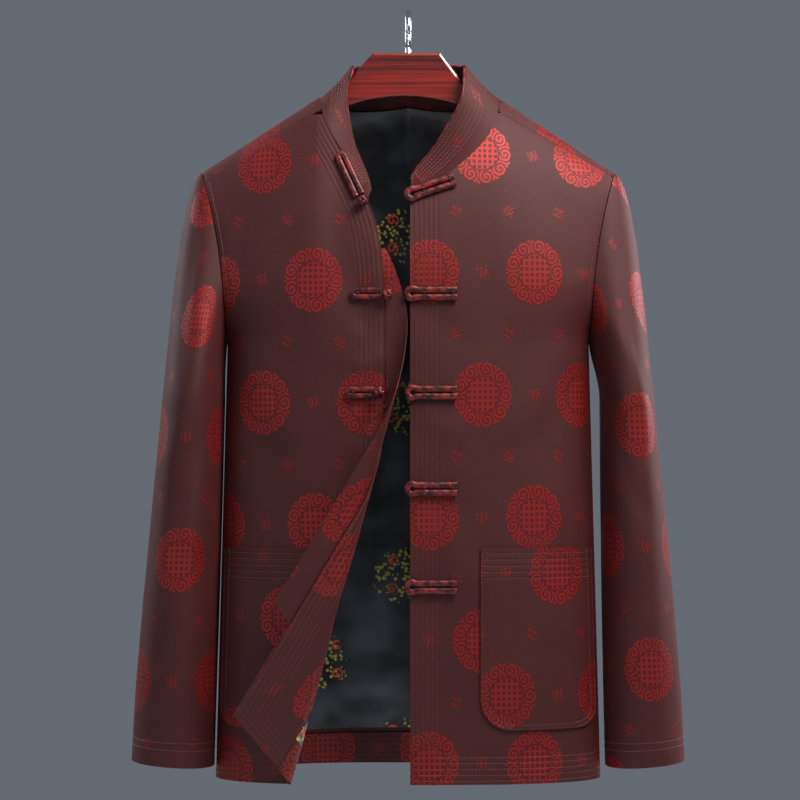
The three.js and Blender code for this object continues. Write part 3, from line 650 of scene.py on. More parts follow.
def liningMaterial():
    # Polyester satin: long black floats with a blue-grey gloss, soft grey highlights painted into the colour
    # over its folds, and sprays of leaves round orange curls.
    look = liningLook
    material, tree, shader = startMaterial("satinPolyesterWoven")
    cloth = addNode(tree, "ShaderNodeUVMap", {"uv_map": clothMap})
    leafCells = {"Vector": cloth, "Scale": clothUnit / look["leafSize"], "Randomness": 0.9}
    leafKind = addNode(tree, "ShaderNodeTexVoronoi", {"feature": "F1"}, leafCells, 1)
    made = {
        "rawU": addNode(tree, "ShaderNodeSeparateXYZ", None, {0: cloth}, 0),
        "rawV": addNode(tree, "ShaderNodeSeparateXYZ", None, {0: cloth}, 1),
        "wander": addNode(tree, "ShaderNodeTexNoise", None, {
            "Vector": cloth, "Scale": clothUnit / look["sprayEdge"], "Detail": 1.0}),
        "fromLeaf": addNode(tree, "ShaderNodeTexVoronoi", {"feature": "F1"}, leafCells, 0),
        "kind": addNode(tree, "ShaderNodeSeparateColor", None, {0: leafKind}, 1),
    }
    sums = [
        ("u", "MULTIPLY", "rawU", clothUnit),
        ("v", "MULTIPLY", "rawV", clothUnit),
        *nearestRepeat("near", look["across"] / 2, look["down"] / 2),
        ("r", "SQRT", "nearRR"),
        ("edge", "MULTIPLY_ADD", "wander", 26.0, look["spray"] - 13.0),
        ("spray", "LESS_THAN", "r", "edge"),
        ("curlAway", "ADD", "nearQ", 15.0),
        ("curlAside", "ADD", "nearP", 9.0),
        ("curlY", "WRAP", "curlAway", 16.0, -16.0),
        ("curlX", "WRAP", "curlAside", 13.0, -13.0),
        ("curlXX", "MULTIPLY", "curlX", "curlX"),
        ("curlRR", "MULTIPLY_ADD", "curlY", "curlY", "curlXX"),
        ("curlR", "SQRT", "curlRR"),
        ("curlAngle", "ARCTAN2", "curlY", "curlX"),
        ("curlWay", "MULTIPLY_ADD", "curlR", 1.1, "curlAngle"),
        ("curlSin", "SINE", "curlWay"),
        ("curlLine", "GREATER_THAN", "curlSin", 0.15),
        ("curlNear", "LESS_THAN", "curlR", 7.5),
        ("curlWhole", "MULTIPLY", "curlLine", "curlNear"),
        ("curl", "MULTIPLY", "curlWhole", "spray"),
        # specks of leaf round the curls
        ("leaf", "LESS_THAN", "fromLeaf", 0.44),
        ("some", "LESS_THAN", "kind", 0.8),
        ("grown", "MULTIPLY", "leaf", "spray"),
        ("shown", "MULTIPLY", "grown", "some"),
    ]
    for name, operation, *values in sums:
        inputs = {i: made.get(value, value) for i, value in enumerate(values)}
        made[name] = addNode(tree, "ShaderNodeMath", {"operation": operation}, inputs)
    budding = addNode(tree, "ShaderNodeSeparateColor", None, {0: leafKind}, 0)
    green = addNode(tree, "ShaderNodeMix", colourMix, {
        0: budding, 6: toLinear(look["leaf"]), 7: toLinear(look["bud"])}, 2)
    # painted highlight: broad noise mixes the grey into the black satin, standing in for light on the lining's
    # folds
    drape = addNode(tree, "ShaderNodeTexNoise", None, {
        "Vector": cloth, "Scale": clothUnit / look["drape"], "Detail": 1.0, "Distortion": 0.4})
    folds = addNode(tree, "ShaderNodeMapRange", None, {0: drape, 1: 0.48, 2: 0.68})
    satin = addNode(tree, "ShaderNodeMix", colourMix, {
        0: folds, 6: toLinear(look["satin"]), 7: toLinear(look["paintedFoldHighlight"])}, 2)
    leafy = addNode(tree, "ShaderNodeMix", colourMix, {0: made["shown"], 6: satin, 7: green}, 2)
    colour = addNode(tree, "ShaderNodeMix", colourMix, {
        0: made["curl"], 6: leafy, 7: toLinear(look["curl"])}, 2)
    ripple = addNode(tree, "ShaderNodeTexNoise", None, {
        "Vector": cloth, "Scale": clothUnit / look["drape"], "Detail": 2.0})
    bump = addNode(tree, "ShaderNodeBump", None, {"Strength": 0.6, "Distance": 0.008, "Height": ripple})
    fillInputs(tree, shader, {
        "Base Color": colour, "Normal": bump, "Roughness": look["roughness"],
        "Specular IOR Level": 0.75, "Sheen Weight": 0.2, "Sheen Tint": toLinear(look["sheen"]),
    })
    return material


woodLook = {
    "stain": "#861708",
    "dark": "#2c0402",
    "grain": (200.0, 50 / 3, 5.0),  # along, through and up the hanger
    "fibre": (100 / 3, 10 / 3, 2 / 3),
    "roughness": 0.35,
    "coatRoughness": 0.07,
}


def woodMaterial():
    # Beech stained red and lacquered: long dark grain along the hanger under a clear gloss coat.
    look = woodLook
    material, tree, shader = startMaterial("beechStainedLacquered")
    where = addNode(tree, "ShaderNodeTexCoord", None, None, "Object")
    alongGrain = addNode(tree, "ShaderNodeMapping", None, {0: where, "Scale": perMetre(*look["grain"])})
    grain = addNode(tree, "ShaderNodeTexNoise", None, {
        "Vector": alongGrain, "Scale": 1.0, "Detail": 6.0, "Distortion": 0.6})
    alongFibre = addNode(tree, "ShaderNodeMapping", None, {0: where, "Scale": perMetre(*look["fibre"])})
    fibres = addNode(tree, "ShaderNodeTexNoise", None, {"Vector": alongFibre, "Scale": 1.0, "Detail": 3.0})
    both = addNode(tree, "ShaderNodeMath", {"operation": "MULTIPLY_ADD"}, {0: fibres, 1: 0.35, 2: grain})
    ramp = addNode(tree, "ShaderNodeMapRange", None, {0: both, 1: 0.5, 2: 0.85})
    colour = addNode(tree, "ShaderNodeMix", colourMix, {
        0: ramp, 6: toLinear(look["dark"]), 7: toLinear(look["stain"])}, 2)
    bump = addNode(tree, "ShaderNodeBump", None, {"Strength": 0.08, "Distance": 0.0005, "Height": both})
    fillInputs(tree, shader, {
        "Base Color": colour, "Normal": bump, "Roughness": look["roughness"],
        "Coat Weight": 1.0, "Coat Roughness": look["coatRoughness"], "Coat IOR": 1.5,
    })
    return material


chromeLook = {"plate": "#d9dcdf", "marks": (10 / 9, 10 / 9, 250 / 3), "roughness": (0.12, 0.18)}


def chromeMaterial():
    # Steel rod, bright chrome plate: mirror-like, with the faint marks of drawing along its length.
    material, tree, shader = startMaterial("steelChromePlated")
    where = addNode(tree, "ShaderNodeTexCoord", None, None, "Object")
    drawn = addNode(tree, "ShaderNodeMapping", None, {0: where, "Scale": perMetre(*chromeLook["marks"])})
    marks = addNode(tree, "ShaderNodeTexNoise", None, {"Vector": drawn, "Scale": 1.0})
    smooth, rough = chromeLook["roughness"]
    dulled = addNode(tree, "ShaderNodeMapRange", None, {0: marks, 3: smooth, 4: rough})
    fillInputs(tree, shader, {
        "Base Color": toLinear(chromeLook["plate"]), "Metallic": 1.0, "Roughness": dulled})
    return material


floorLook = {"dull": "#c6cad0", "pale": "#cfd2d7", "roughness": 0.8, "mottle": 1000 / 3}


def floorMaterial():
    # Matt painted board: pale and even, with a very faint mottle.
    material, tree, shader = startMaterial("boardPaintedMatt")
    where = addNode(tree, "ShaderNodeTexCoord", None, None, "Object")
    mottle = addNode(tree, "ShaderNodeTexNoise", None, {
        "Vector": where, "Scale": perMetre(floorLook["mottle"])[0]})
    colour = addNode(tree, "ShaderNodeMix", colourMix, {
        0: mottle, 6: toLinear(floorLook["dull"]), 7: toLinear(floorLook["pale"])}, 2)
    fillInputs(tree, shader, {"Base Color": colour, "Roughness": floorLook["roughness"]})
    return material


finishes = {
    "jacquard": jacquardMaterial(),
    "rouleau": rouleauMaterial(),
    "thread": threadMaterial(),
    "lining": liningMaterial(),
    "hanger_wood": woodMaterial(),
    "hook_metal": chromeMaterial(),
    "floor": floorMaterial(),
}
print("materials made")

# Meshes.


sharpFrom = 55  # degrees between two faces


def addMesh(name, points, faces, finish, cloth=None, innerFinish=None, innerFrom=None):
    mesh = bpy.data.meshes.new(name)
    mesh.from_pydata((np.asarray(points) * mm).tolist(), [], faces)
    mesh.materials.append(finishes[finish])
    if innerFinish:
        mesh.materials.append(finishes[innerFinish])
        inner = np.zeros(len(faces), np.int32)
        inner[innerFrom[0]:innerFrom[1]] = 1
        mesh.polygons.foreach_set("material_index", inner)
    if cloth is not None:
        layer = mesh.uv_layers.new(name=clothMap)
        corners = np.zeros(len(mesh.loops), np.int32)
        mesh.loops.foreach_get("vertex_index", corners)
        layer.data.foreach_set("uv", (np.asarray(cloth)[corners] / clothUnit).astype(np.float32).ravel())
    mesh.polygons.foreach_set("use_smooth", [True] * len(faces))
    mesh.set_sharp_from_angle(angle=math.radians(sharpFrom))
    mesh.update()
    piece = bpy.data.objects.new(name, mesh)
    bpy.context.scene.collection.objects.link(piece)
    return piece


def gridNormals(points, wraps=False):
    if wraps:
        ring = np.concatenate([points[:, -1:], points, points[:, :1]], 1)
        across = np.gradient(ring, axis=1)[:, 1:-1]
    else:
        across = np.gradient(points, axis=1)
    normal = np.cross(np.gradient(points, axis=0), across)
    return normal / (np.linalg.norm(normal, axis=-1, keepdims=True) + 1e-9)


def flatPlaces(points, start, patternAt, fromRight=False, down=(1, 2), levelAt=underarmZ):
    rows = np.linalg.norm(np.diff(points, axis=1), axis=-1)
    columns = np.linalg.norm(np.diff(points, axis=0)[..., down], axis=-1)
    u = np.concatenate([np.zeros((len(points), 1)), np.cumsum(rows, 1)], 1)
    v = -np.concatenate([np.zeros((1, points.shape[1])), np.cumsum(columns, 0)], 0)
    level = int(np.argmin(np.abs(points[:, 0, 2] - levelAt)))  # rows are straight here
    v = v - v[level] + points[level, 0, 2]
    if fromRight:
        u = u - u[:, -1:]
    u = u + np.asarray(start)[:, None]
    nearest = np.argmin(np.linalg.norm((points - patternAt)[..., (0, 2)], axis=-1))
    row, column = np.unravel_index(nearest, u.shape)
    return np.stack([u - u[row, column], v - v[row, column]], -1)


def shell(name, outer, inner, cloth, finish, turned=False, wraps=False, innerFinish=None):
    rowCount, columnCount = outer.shape[:2]
    index = np.arange(rowCount * columnCount).reshape(rowCount, columnCount)
    if wraps:
        index = np.concatenate([index, index[:, :1]], 1)
    below = index + rowCount * columnCount
    a, b, c, d = index[:-1, :-1], index[1:, :-1], index[1:, 1:], index[:-1, 1:]
    e, f, g, h = below[:-1, :-1], below[1:, :-1], below[1:, 1:], below[:-1, 1:]
    quads = [np.stack([a, b, c, d], -1).reshape(-1, 4), np.stack([e, h, g, f], -1).reshape(-1, 4)]
    quads.append(np.stack([index[0, :-1], index[0, 1:], below[0, 1:], below[0, :-1]], -1))
    quads.append(np.stack([index[-1, :-1], below[-1, :-1], below[-1, 1:], index[-1, 1:]], -1))
    if not wraps:
        quads.append(np.stack([index[:-1, 0], below[:-1, 0], below[1:, 0], index[1:, 0]], -1))
        quads.append(np.stack([index[:-1, -1], index[1:, -1], below[1:, -1], below[:-1, -1]], -1))
    quads = np.concatenate(quads)
    if turned:
        quads = quads[:, ::-1]
    points = np.concatenate([outer.reshape(-1, 3), inner.reshape(-1, 3)])
    places = np.concatenate([cloth.reshape(-1, 2)] * 2)
    innerFaces = (a.size, 2 * a.size)
    return addMesh(name, points, quads.tolist(), finish, places, innerFinish, innerFaces)


def panelPiece(name, panel, levels, columnsAt, depths, patternAt, finish,
               innerFinish=None, relief=None, fromRight=False):
    z = np.repeat(levels[:, None], columnsAt(levels[:1]).shape[1], 1)
    x = columnsAt(levels)
    plain, normal = surface({**panel, "relief": lambda a, b: 0 * a}, x, z)
    height = panel["relief"](x, z) + (relief(x, z) if relief else 0)
    outer = plain + normal * (depths[0] + height)[..., None]
    inner = plain + normal * (depths[1] + panel["relief"](x, z))[..., None]
    start = x[:, -1] if fromRight else x[:, 0]
    cloth = flatPlaces(plain, start, np.array([patternAt[0], 0, patternAt[1]]), fromRight)
    piece = shell(name, outer, inner, cloth, finish, panel["face"] > 0, False, innerFinish)
    return piece, plain


flatSizes = {}


def declareSheet(piece, plain):
    wide = np.linalg.norm(np.diff(plain, axis=1), axis=-1).sum(1)
    tall = np.linalg.norm(np.diff(plain, axis=0), axis=-1).sum(0)
    a, b, c, d = plain[:-1, :-1], plain[1:, :-1], plain[1:, 1:], plain[:-1, 1:]
    halves = np.cross(b - a, d - a), np.cross(c - b, c - d)
    area = (np.linalg.norm(halves[0], axis=-1).sum() + np.linalg.norm(halves[1], axis=-1).sum()) / 2
    width, length = round(float(wide.max()) * mm, 3), round(float(tall.max()) * mm, 3)
    area = min(round(float(area) * mm * mm, 4), width * length)
    flatSizes[piece.name] = (width, length, area)


def place(piece, nodes=()):
    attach(piece, "root")
    if nodes:
        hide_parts(*nodes)
    return piece


# Stitches and cords.

stitchSizes = {"length": 2.7, "pitch": 3.5, "halfWidth": 0.33, "proud": 0.12, "sunk": 0.25}


def resample(points, normals, pitch):
    gaps = np.linalg.norm(np.diff(points, axis=0), axis=-1)
    along = np.concatenate([[0], np.cumsum(gaps)])
    count = max(int(along[-1] / pitch), 1)
    at = (np.arange(count) + 0.5) * pitch
    places = np.stack([np.interp(at, along, points[:, k]) for k in range(3)], -1)
    ups = np.stack([np.interp(at, along, normals[:, k]) for k in range(3)], -1)
    ahead = np.stack([np.interp(at + 0.5, along, points[:, k]) for k in range(3)], -1)
    behind = np.stack([np.interp(at - 0.5, along, points[:, k]) for k in range(3)], -1)
    ways = ahead - behind
    return places, ways / (np.linalg.norm(ways, axis=-1, keepdims=True) + 1e-9), ups


def stitchPiece(name, runs):
    half, wide, sunk = stitchSizes["length"] / 2, stitchSizes["halfWidth"], stitchSizes["sunk"]
    shape = [(-half, 0, -sunk)]
    for t in (-0.62 * half, 0.62 * half):
        shape += [(t, wide, 0), (t, 0, wide), (t, -wide, 0), (t, 0, -wide)]
    shape = np.array(shape + [(half, 0, -sunk)])
    faces = [(0, 1 + (k + 1) % 4, 1 + k) for k in range(4)]
    faces += [(1 + k, 1 + (k + 1) % 4, 5 + (k + 1) % 4, 5 + k) for k in range(4)]
    faces += [(9, 5 + k, 5 + (k + 1) % 4) for k in range(4)]
    points, allFaces, base = [], [], 0
    for path, normals in runs:
        places, ways, ups = resample(path, normals, stitchSizes["pitch"])
        sides = np.cross(ups, ways)
        sides /= np.linalg.norm(sides, axis=-1, keepdims=True) + 1e-9
        ups = np.cross(ways, sides)
        centres = places + ups * stitchSizes["proud"]
        made = centres[:, None] + ways[:, None] * shape[None, :, :1]
        made = made + sides[:, None] * shape[None, :, 1:2] + ups[:, None] * shape[None, :, 2:3]
        points.append(made.reshape(-1, 3))
        for i in range(len(places)):
            allFaces += [tuple(base + i * 10 + k for k in face) for face in faces]
        base += len(places) * 10
    piece = addMesh(name, np.concatenate(points), allFaces, "thread")
    return place(piece)


def tube(path, ups, halfWidth, halfThick, sides, closed=False, swell=None):
    ahead = np.roll(path, -1, 0) if closed else np.concatenate([path[1:], path[-1:]])
    behind = np.roll(path, 1, 0) if closed else np.concatenate([path[:1], path[:-1]])
    way = ahead - behind
    way /= np.linalg.norm(way, axis=-1, keepdims=True) + 1e-9
    across = np.cross(way, ups)
    across /= np.linalg.norm(across, axis=-1, keepdims=True) + 1e-9
    up = np.cross(across, way)
    angle = 2 * np.pi * (np.arange(sides) + 0.5) / sides
    size = np.ones(len(path)) if swell is None else swell
    rings = path[:, None] + across[:, None] * (halfWidth * np.cos(angle))[None, :, None] * size[:, None, None]
    rings = rings + up[:, None] * (halfThick * np.sin(angle))[None, :, None] * size[:, None, None]
    count = len(path)
    faces = []
    for i in range(count if closed else count - 1):
        j = (i + 1) % count
        for k in range(sides):
            n = (k + 1) % sides
            faces.append((i * sides + k, j * sides + k, j * sides + n, i * sides + n))
    if not closed:
        faces.append(tuple(range(sides)))
        faces.append(tuple((count - 1) * sides + k for k in reversed(range(sides))))
    return rings.reshape(-1, 3), faces


def joined(parts):
    points, faces, base = [], [], 0
    for somePoints, someFaces in parts:
        points.append(somePoints)
        faces += [tuple(base + k for k in face) for face in someFaces]
        base += len(somePoints)
    return np.concatenate(points), faces


def steps(low, high, count):
    return np.linspace(low, high, count + 1)


def crowded(count, power):
    return 1 - (1 - np.linspace(0, 1, count + 1)) ** power


# Left front.

hemRise = 36.0  # the levels are closer below this height above the hem
stitchedBand = 34.0  # width beside a front edge where the columns are closer
sideSeam = {"top": -186, "bottom": -322, "inFromSide": 4.5}


def bodyLevels(neckEnd, fine):
    return np.concatenate([steps(neckEnd, hemZ + hemRise, fine)[1:], steps(hemZ + hemRise, hemZ, 36)[1:]])


def leftColumns(z):
    edge, outer = leftEdgeX(z), frontOuterX(z)
    band = np.minimum(stitchedBand, (outer - edge) * 0.3)
    first = edge[:, None] + band[:, None] * steps(0, 1, 34)[None]
    rest = first[:, -1:] + (outer - edge - band)[:, None] * crowded(52, 1.9)[None, 1:]
    return np.concatenate([first, rest], 1)


leftPattern = {"roundelAt": (137, -289), "pocketRoundelAt": (161, -613)}
leftNeck = bezier(frontEdges["neckCurveLeft"], 1 - np.linspace(0, 0.86, 40)[::-1])[:, 1]
leftNeck = np.sort(leftNeck)[::-1]
leftLevels = np.concatenate([leftNeck, bodyLevels(frontEdges["neckEndLeft"], 150)])
frontLeft, frontLeftPlain = panelPiece(
    "frontLeftPanel", leftPanel, leftLevels, leftColumns, (0, -form["wall"]), leftPattern["roundelAt"],
    "jacquard", "lining")
place(frontLeft, ["front_left"])


def edgeRun(panel, edgeX, side, inFromEdge, top, bottom, off):
    z = steps(top, bottom, 240)
    x = edgeX(z) + side * inFromEdge
    return surface(panel, x, z, off)


def hemRun(panel, upFromHem, fromX, toX, off):
    x = steps(fromX, toX, 160)
    return surface(panel, x, np.full(x.shape, hemZ + upFromHem), off)


def neckCross(side, x):
    table = neckTables[side]
    order = np.argsort(table[:, 0])
    return float(np.interp(x, table[order, 0], table[order, 1]))


leftRuns = []
for inward in stitchRows["frontEdge"]:
    top = neckCross("Left", frontEdges["left"] + inward) - 3
    leftRuns.append(edgeRun(leftPanel, lambda z: 0 * z + frontEdges["left"], 1, inward, top, hemZ + inward, 0))
for upward in stitchRows["hem"]:
    leftRuns.append(hemRun(leftPanel, upward, frontEdges["left"] + upward, hemX - 5, 0))
for side, panel in ((1, leftPanel), (-1, rightPanel)):
    z = steps(sideSeam["top"], sideSeam["bottom"], 90)
    leftRuns.append(surface(panel, side * (frontOuterX(z) - sideSeam["inFromSide"]), z, 0))
stitchPiece("frontLeftStitches", leftRuns)
print("left front made")

# Right front and its turned corner.

rightPattern = {"roundelAt": (-101, -294), "pocketRoundelAt": (-128, -660)}


def rightColumns(z):
    side, edge = -frontOuterX(z), rightEdgeX(z)
    start, length = rollSpan(z)
    wide = edge - side
    start = np.minimum(start, edge - np.minimum(30, wide * 0.3))
    end = np.minimum(start + length, edge - np.minimum(8, wide * 0.1))
    band = np.maximum(end, edge - stitchedBand)
    toRoll = side[:, None] + (start - side)[:, None] * (1 - crowded(40, 1.7)[::-1])[None]
    roll = start[:, None] + (end - start)[:, None] * steps(0, 1, 26)[None, 1:]
    flat = end[:, None] + (band - end)[:, None] * steps(0, 1, 14)[None, 1:]
    hemmed = band[:, None] + (edge - band)[:, None] * steps(0, 1, 34)[None, 1:]
    return np.concatenate([toRoll, roll, flat, hemmed], 1)


rightNeck = np.sort(bezier(frontEdges["neckCurveRight"], np.linspace(0.22, 1, 40))[:, 1])[::-1]
rightLevels = np.concatenate([rightNeck, bodyLevels(frontEdges["neckEndRight"], 170)])
frontRight, frontRightPlain = panelPiece(
    "frontRightPanel", rightPanel, rightLevels, rightColumns, (0, -form["wall"]), rightPattern["roundelAt"],
    "jacquard", None, None, True)
place(frontRight, ["front_right"])


def between(low, high, shares):
    return lambda z: low(z)[:, None] + (high(z) - low(z))[:, None] * shares[None]


insideSizes = {
    "underlapTop": -262,
    "underlapBottom": -714,
    "underlapBeyond": 25,
    "opensAt": -250,
    "opensOver": 110,
    "facingTop": -470,
    "facingWidth": 68,
    "facingGap": 0.6,
    "hemFacing": 40,
    "liningTop": -640,
    "liningFrom": -165,
    "firstDepth": (-2.2, -3.2),
    "secondDepth": (-3.8, -4.8),
}
facingEnd = hemZ + insideSizes["hemFacing"]


def underlapX(z):
    opened = np.clip((insideSizes["opensAt"] - z) / insideSizes["opensOver"], 0, 1)
    return rightEdgeX(z) + insideSizes["underlapBeyond"] * (1 - (1 - opened) ** 2)


underlap, underlapPlain = panelPiece(
    "underlapStrip", smoothRight, steps(insideSizes["underlapTop"], insideSizes["underlapBottom"], 120),
    between(lambda z: rightEdgeX(z) + form["seamGap"], underlapX, steps(0, 1, 26)),
    insideSizes["firstDepth"], (-20, -560), "jacquard")
place(underlap, ["underlap"])
facing, facingPlain = panelPiece(
    "frontFacing", insidePanel,
    np.concatenate([[insideSizes["facingTop"]], bodyLevels(insideSizes["facingTop"], 90)]),
    between(lambda z: rightEdgeX(z) - insideSizes["facingWidth"], rightEdgeX, steps(0, 1, 72)),
    insideSizes["secondDepth"], (-70, -600), "jacquard")
place(facing, ["facing_right"])


def besideFacing(z):
    return rightEdgeX(z) - insideSizes["facingWidth"] - insideSizes["facingGap"]


hemFacingRight, hemFacingRightPlain = panelPiece(
    "hemFacingRight", insidePanel, steps(facingEnd, hemZ, 40),
    between(lambda z: 0 * z + insideSizes["liningFrom"], besideFacing, steps(0, 1, 30)),
    insideSizes["secondDepth"], (-130, -815), "jacquard")
place(hemFacingRight, ["hem_facing_right"])
liningRight, liningRightPlain = panelPiece(
    "liningRight", smoothRight, steps(insideSizes["liningTop"], facingEnd + form["seamGap"], 50),
    between(lambda z: 0 * z + insideSizes["liningFrom"], besideFacing, steps(0, 1, 30)),
    insideSizes["secondDepth"], (-120, -770), "lining")
place(liningRight, ["lining_right"])

rightRuns = []
insideRuns = []
insideOff = insideSizes["secondDepth"][1] - 0.1
for inward in stitchRows["frontEdge"]:
    top = neckCross("Right", frontEdges["neckCurveRight"][3][0] - inward) - 3
    rightRuns.append(edgeRun(rightPanel, rightEdgeX, -1, inward, top, hemZ + inward, 0))
    path, normal = edgeRun(
        insidePanel, rightEdgeX, -1, inward, insideSizes["facingTop"], hemZ + inward, insideOff)
    insideRuns.append((path, -normal))
for upward in stitchRows["hem"]:
    corner = float(rightEdgeX(np.array(hemZ + upward))) - upward
    rightRuns.append(hemRun(rightPanel, upward, -hemX + 5, corner, 0))
    path, normal = hemRun(insidePanel, upward, insideSizes["liningFrom"] + 2, corner, insideOff)
    insideRuns.append((path, -normal))
for offset in (1.6, insideSizes["facingWidth"] - 2.0):
    path, normal = edgeRun(
        insidePanel, rightEdgeX, -1, offset, insideSizes["facingTop"] - 4, facingEnd, insideOff)
    insideRuns.append((path, -normal))
stitchPiece("frontRightStitches", rightRuns)
stitchPiece("facingStitches", insideRuns)
print("right front made")

# Pockets.

pocketSizes = {
    "top": -586,
    "bottom": -783,
    "inner": 78,
    "outerShare": 0.972,  # of the way to the side seam
    "cornerInner": 34,
    "cornerOuter": 22,
    "depths": (2.0, 0.7),
    "rimSwell": 0.5,
}


def cornerCut(z, radius):
    into = np.maximum(pocketSizes["bottom"] + radius - z, 0)
    return radius - np.sqrt(np.maximum(radius**2 - into**2, 0))


def pocketInnerX(z):
    return pocketSizes["inner"] + cornerCut(z, pocketSizes["cornerInner"])


def pocketOuterX(z):
    return pocketSizes["outerShare"] * sideX(z) - cornerCut(z, pocketSizes["cornerOuter"])


def pocketOutline(inward):
    bottom, radius = pocketSizes["bottom"], pocketSizes["cornerInner"]
    bend = bottom + radius * (1 - np.sin(steps(0, math.pi / 2, 40)[1:]))
    z = np.concatenate([steps(pocketSizes["top"] - 1, bottom + radius, 60), bend])
    down = np.stack([pocketInnerX(z), z], -1)
    up = np.stack([pocketOuterX(z), z], -1)[::-1]
    line = np.concatenate([down, up])
    way = np.gradient(line, axis=0)
    way /= np.linalg.norm(way, axis=-1, keepdims=True) + 1e-9
    inner = line + np.stack([-way[:, 1], way[:, 0]], -1) * inward
    return inner[inner[:, 1] < pocketSizes["top"] - 1]


def pocketRelief(x, z):
    x = np.abs(x)
    fromSide = np.minimum(x - pocketInnerX(z), pocketOuterX(z) - x)
    fromBottom = z - pocketSizes["bottom"]
    fromEdge = np.minimum(fromSide, fromBottom)
    top = channels(pocketSizes["top"] - z, stitchRows["pocketTop"])
    edge = channels(fromEdge, stitchRows["pocketEdge"])
    swell = pocketSizes["rimSwell"] * np.exp(-((fromEdge / 5) ** 2))
    return top + edge * (top > -0.05) + swell


stitchedEnd, cornerStart = pocketSizes["top"] - 36, pocketSizes["bottom"] + pocketSizes["cornerInner"]
pocketLevels = np.concatenate([
    steps(pocketSizes["top"], stitchedEnd, 36), steps(stitchedEnd, cornerStart, 32)[1:],
    steps(cornerStart, pocketSizes["bottom"], 40)[1:]])
pocketShares = np.concatenate([steps(0, 0.1, 12), steps(0.1, 0.9, 36)[1:], steps(0.9, 1, 12)[1:]])
for name, panel, side in (("Left", smoothLeft, 1), ("Right", smoothRight, -1)):
    low = pocketInnerX if side > 0 else (lambda z: -pocketOuterX(z))
    high = pocketOuterX if side > 0 else (lambda z: -pocketInnerX(z))
    at = leftPattern["pocketRoundelAt"] if side > 0 else rightPattern["pocketRoundelAt"]
    pocket, pocketPlain = panelPiece(
        "pocket" + name, panel, pocketLevels, between(low, high, pocketShares), pocketSizes["depths"], at,
        "jacquard", None, pocketRelief)
    place(pocket, ["pocket_" + name.lower()])
    runs = []
    for fromTop in stitchRows["pocketTop"]:
        z = pocketSizes["top"] - fromTop
        x = side * steps(pocketSizes["inner"] + 2, float(pocketOuterX(np.array(z))) - 2, 60)
        runs.append(surface(panel, x, np.full(x.shape, z), pocketSizes["depths"][0]))
    for inward in stitchRows["pocketEdge"]:
        line = pocketOutline(inward)
        runs.append(surface(panel, side * line[:, 0], line[:, 1], pocketSizes["depths"][0]))
    stitchPiece("pocket" + name + "Stitches", runs)
    declareSheet(pocket, pocketPlain)
print("pockets made")

# Back.

backSizes = {"columns": 64, "downRows": 110, "liningDepth": (-2.4, -3.4), "liningShare": 0.86}


def backPlaces(share, turnShare, downShare):
    x = share * tipX
    for _ in range(14):
        neck = (x < form["neckHalfLeft"]) & (x > -form["neckHalfRight"])
        neckBelow = form["neckDrop"] * (1 - (x / neckSideX) ** 2)
        fromNeck = np.arccos(1 - np.maximum(neckBelow, 0) / form["backRound"])
        fromSeam = -np.arccos(1 - seamDrop(x) / form["frontRound"])
        start = np.where(neck, fromNeck, fromSeam)
        turn = lerp(start, math.pi / 2, turnShare)
        face = np.where(turn < 0, -1, 1)
        rounding = np.where(turn < 0, form["frontRound"], form["backRound"])
        z = ridgeZ(x) - rounding * (1 - np.cos(turn))
        z = lerp(z, hemZ, downShare)
        x = share * sideX(z)
    return x, z, face


half = crowded(backSizes["columns"], 1.35)[1:]
neckJumps = np.array([  # columns close on both sides of each step at the neck
    form["neckHalfLeft"] - 0.2, form["neckHalfLeft"] + 1.1,
    -form["neckHalfRight"] - 1.1, -form["neckHalfRight"] + 0.2]) / tipX
backShares = np.sort(np.concatenate([-half, [0], half, neckJumps]))
turnShares = np.concatenate([steps(0, 0.2, 10), steps(0.2, 1, 22)[1:], np.ones(backSizes["downRows"])])
downShares = np.concatenate([np.zeros(33), steps(0, 1, backSizes["downRows"])[1:]])
shareGrid, turnGrid = np.meshgrid(backShares, turnShares)
_, downGrid = np.meshgrid(backShares, downShares)
backX, backZ, backFace = backPlaces(shareGrid, turnGrid, downGrid)
backPlain = skin(backX, backZ, backFace)
backNormal = -gridNormals(backPlain)
backHeight = backPanel["relief"](backX, backZ) * smoothstep(turnGrid, 0.25, 0.6)
backHeight = np.where(backFace > 0, backHeight, 0)
backOuter = backPlain + backNormal * backHeight[..., None]
backCloth = flatPlaces(backPlain, 0 * backPlain[:, 0, 0], np.array([0, 0, -330]))
middleColumn = backShares.size // 2
backCloth[..., 0] -= backCloth[:, middleColumn, 0][:, None]
underarmRow = int(np.argmin(np.abs(backPlain[:, 0, 2] - underarmZ)))
slope = backPlain[underarmRow, :, 2] - backPlain[underarmRow, middleColumn, 2]
backCloth[..., 1] += slope  # rows slope here
backPiece = shell("backPanel", backOuter, backOuter - backNormal * form["wall"], backCloth, "jacquard", True)
place(backPiece, ["back"])

inColumns = np.abs(backShares) <= backSizes["liningShare"]
aboveFacing = int(np.argmin(np.abs(backZ[:, middleColumn] - facingEnd)))
topRow = 4  # the lining starts this many rows below the neck


def backPatch(name, rowSpan, finish, node, patternAt):
    grid = backOuter[rowSpan][:, inColumns]
    normal = backNormal[rowSpan][:, inColumns]
    outer, inner = (grid + normal * depth for depth in backSizes["liningDepth"])
    away = grid - np.array([patternAt[0], 100, patternAt[1]])
    cloth = backCloth[rowSpan][:, inColumns]
    cloth = cloth - cloth.reshape(-1, 2)[np.argmin(np.linalg.norm(away[..., (0, 2)], axis=-1))]
    piece = shell(name, outer, inner, cloth, finish, True)
    place(piece, [node])
    return piece, grid


liningBack, liningBackPlain = backPatch(
    "liningBack", slice(topRow, aboveFacing + 1), "lining", "lining_back", (-11, -236))
hemFacingBack, hemFacingBackPlain = backPatch(
    "hemFacingBack", slice(aboveFacing + 1, None), "jacquard", "hem_facing_back", (-92, -824))

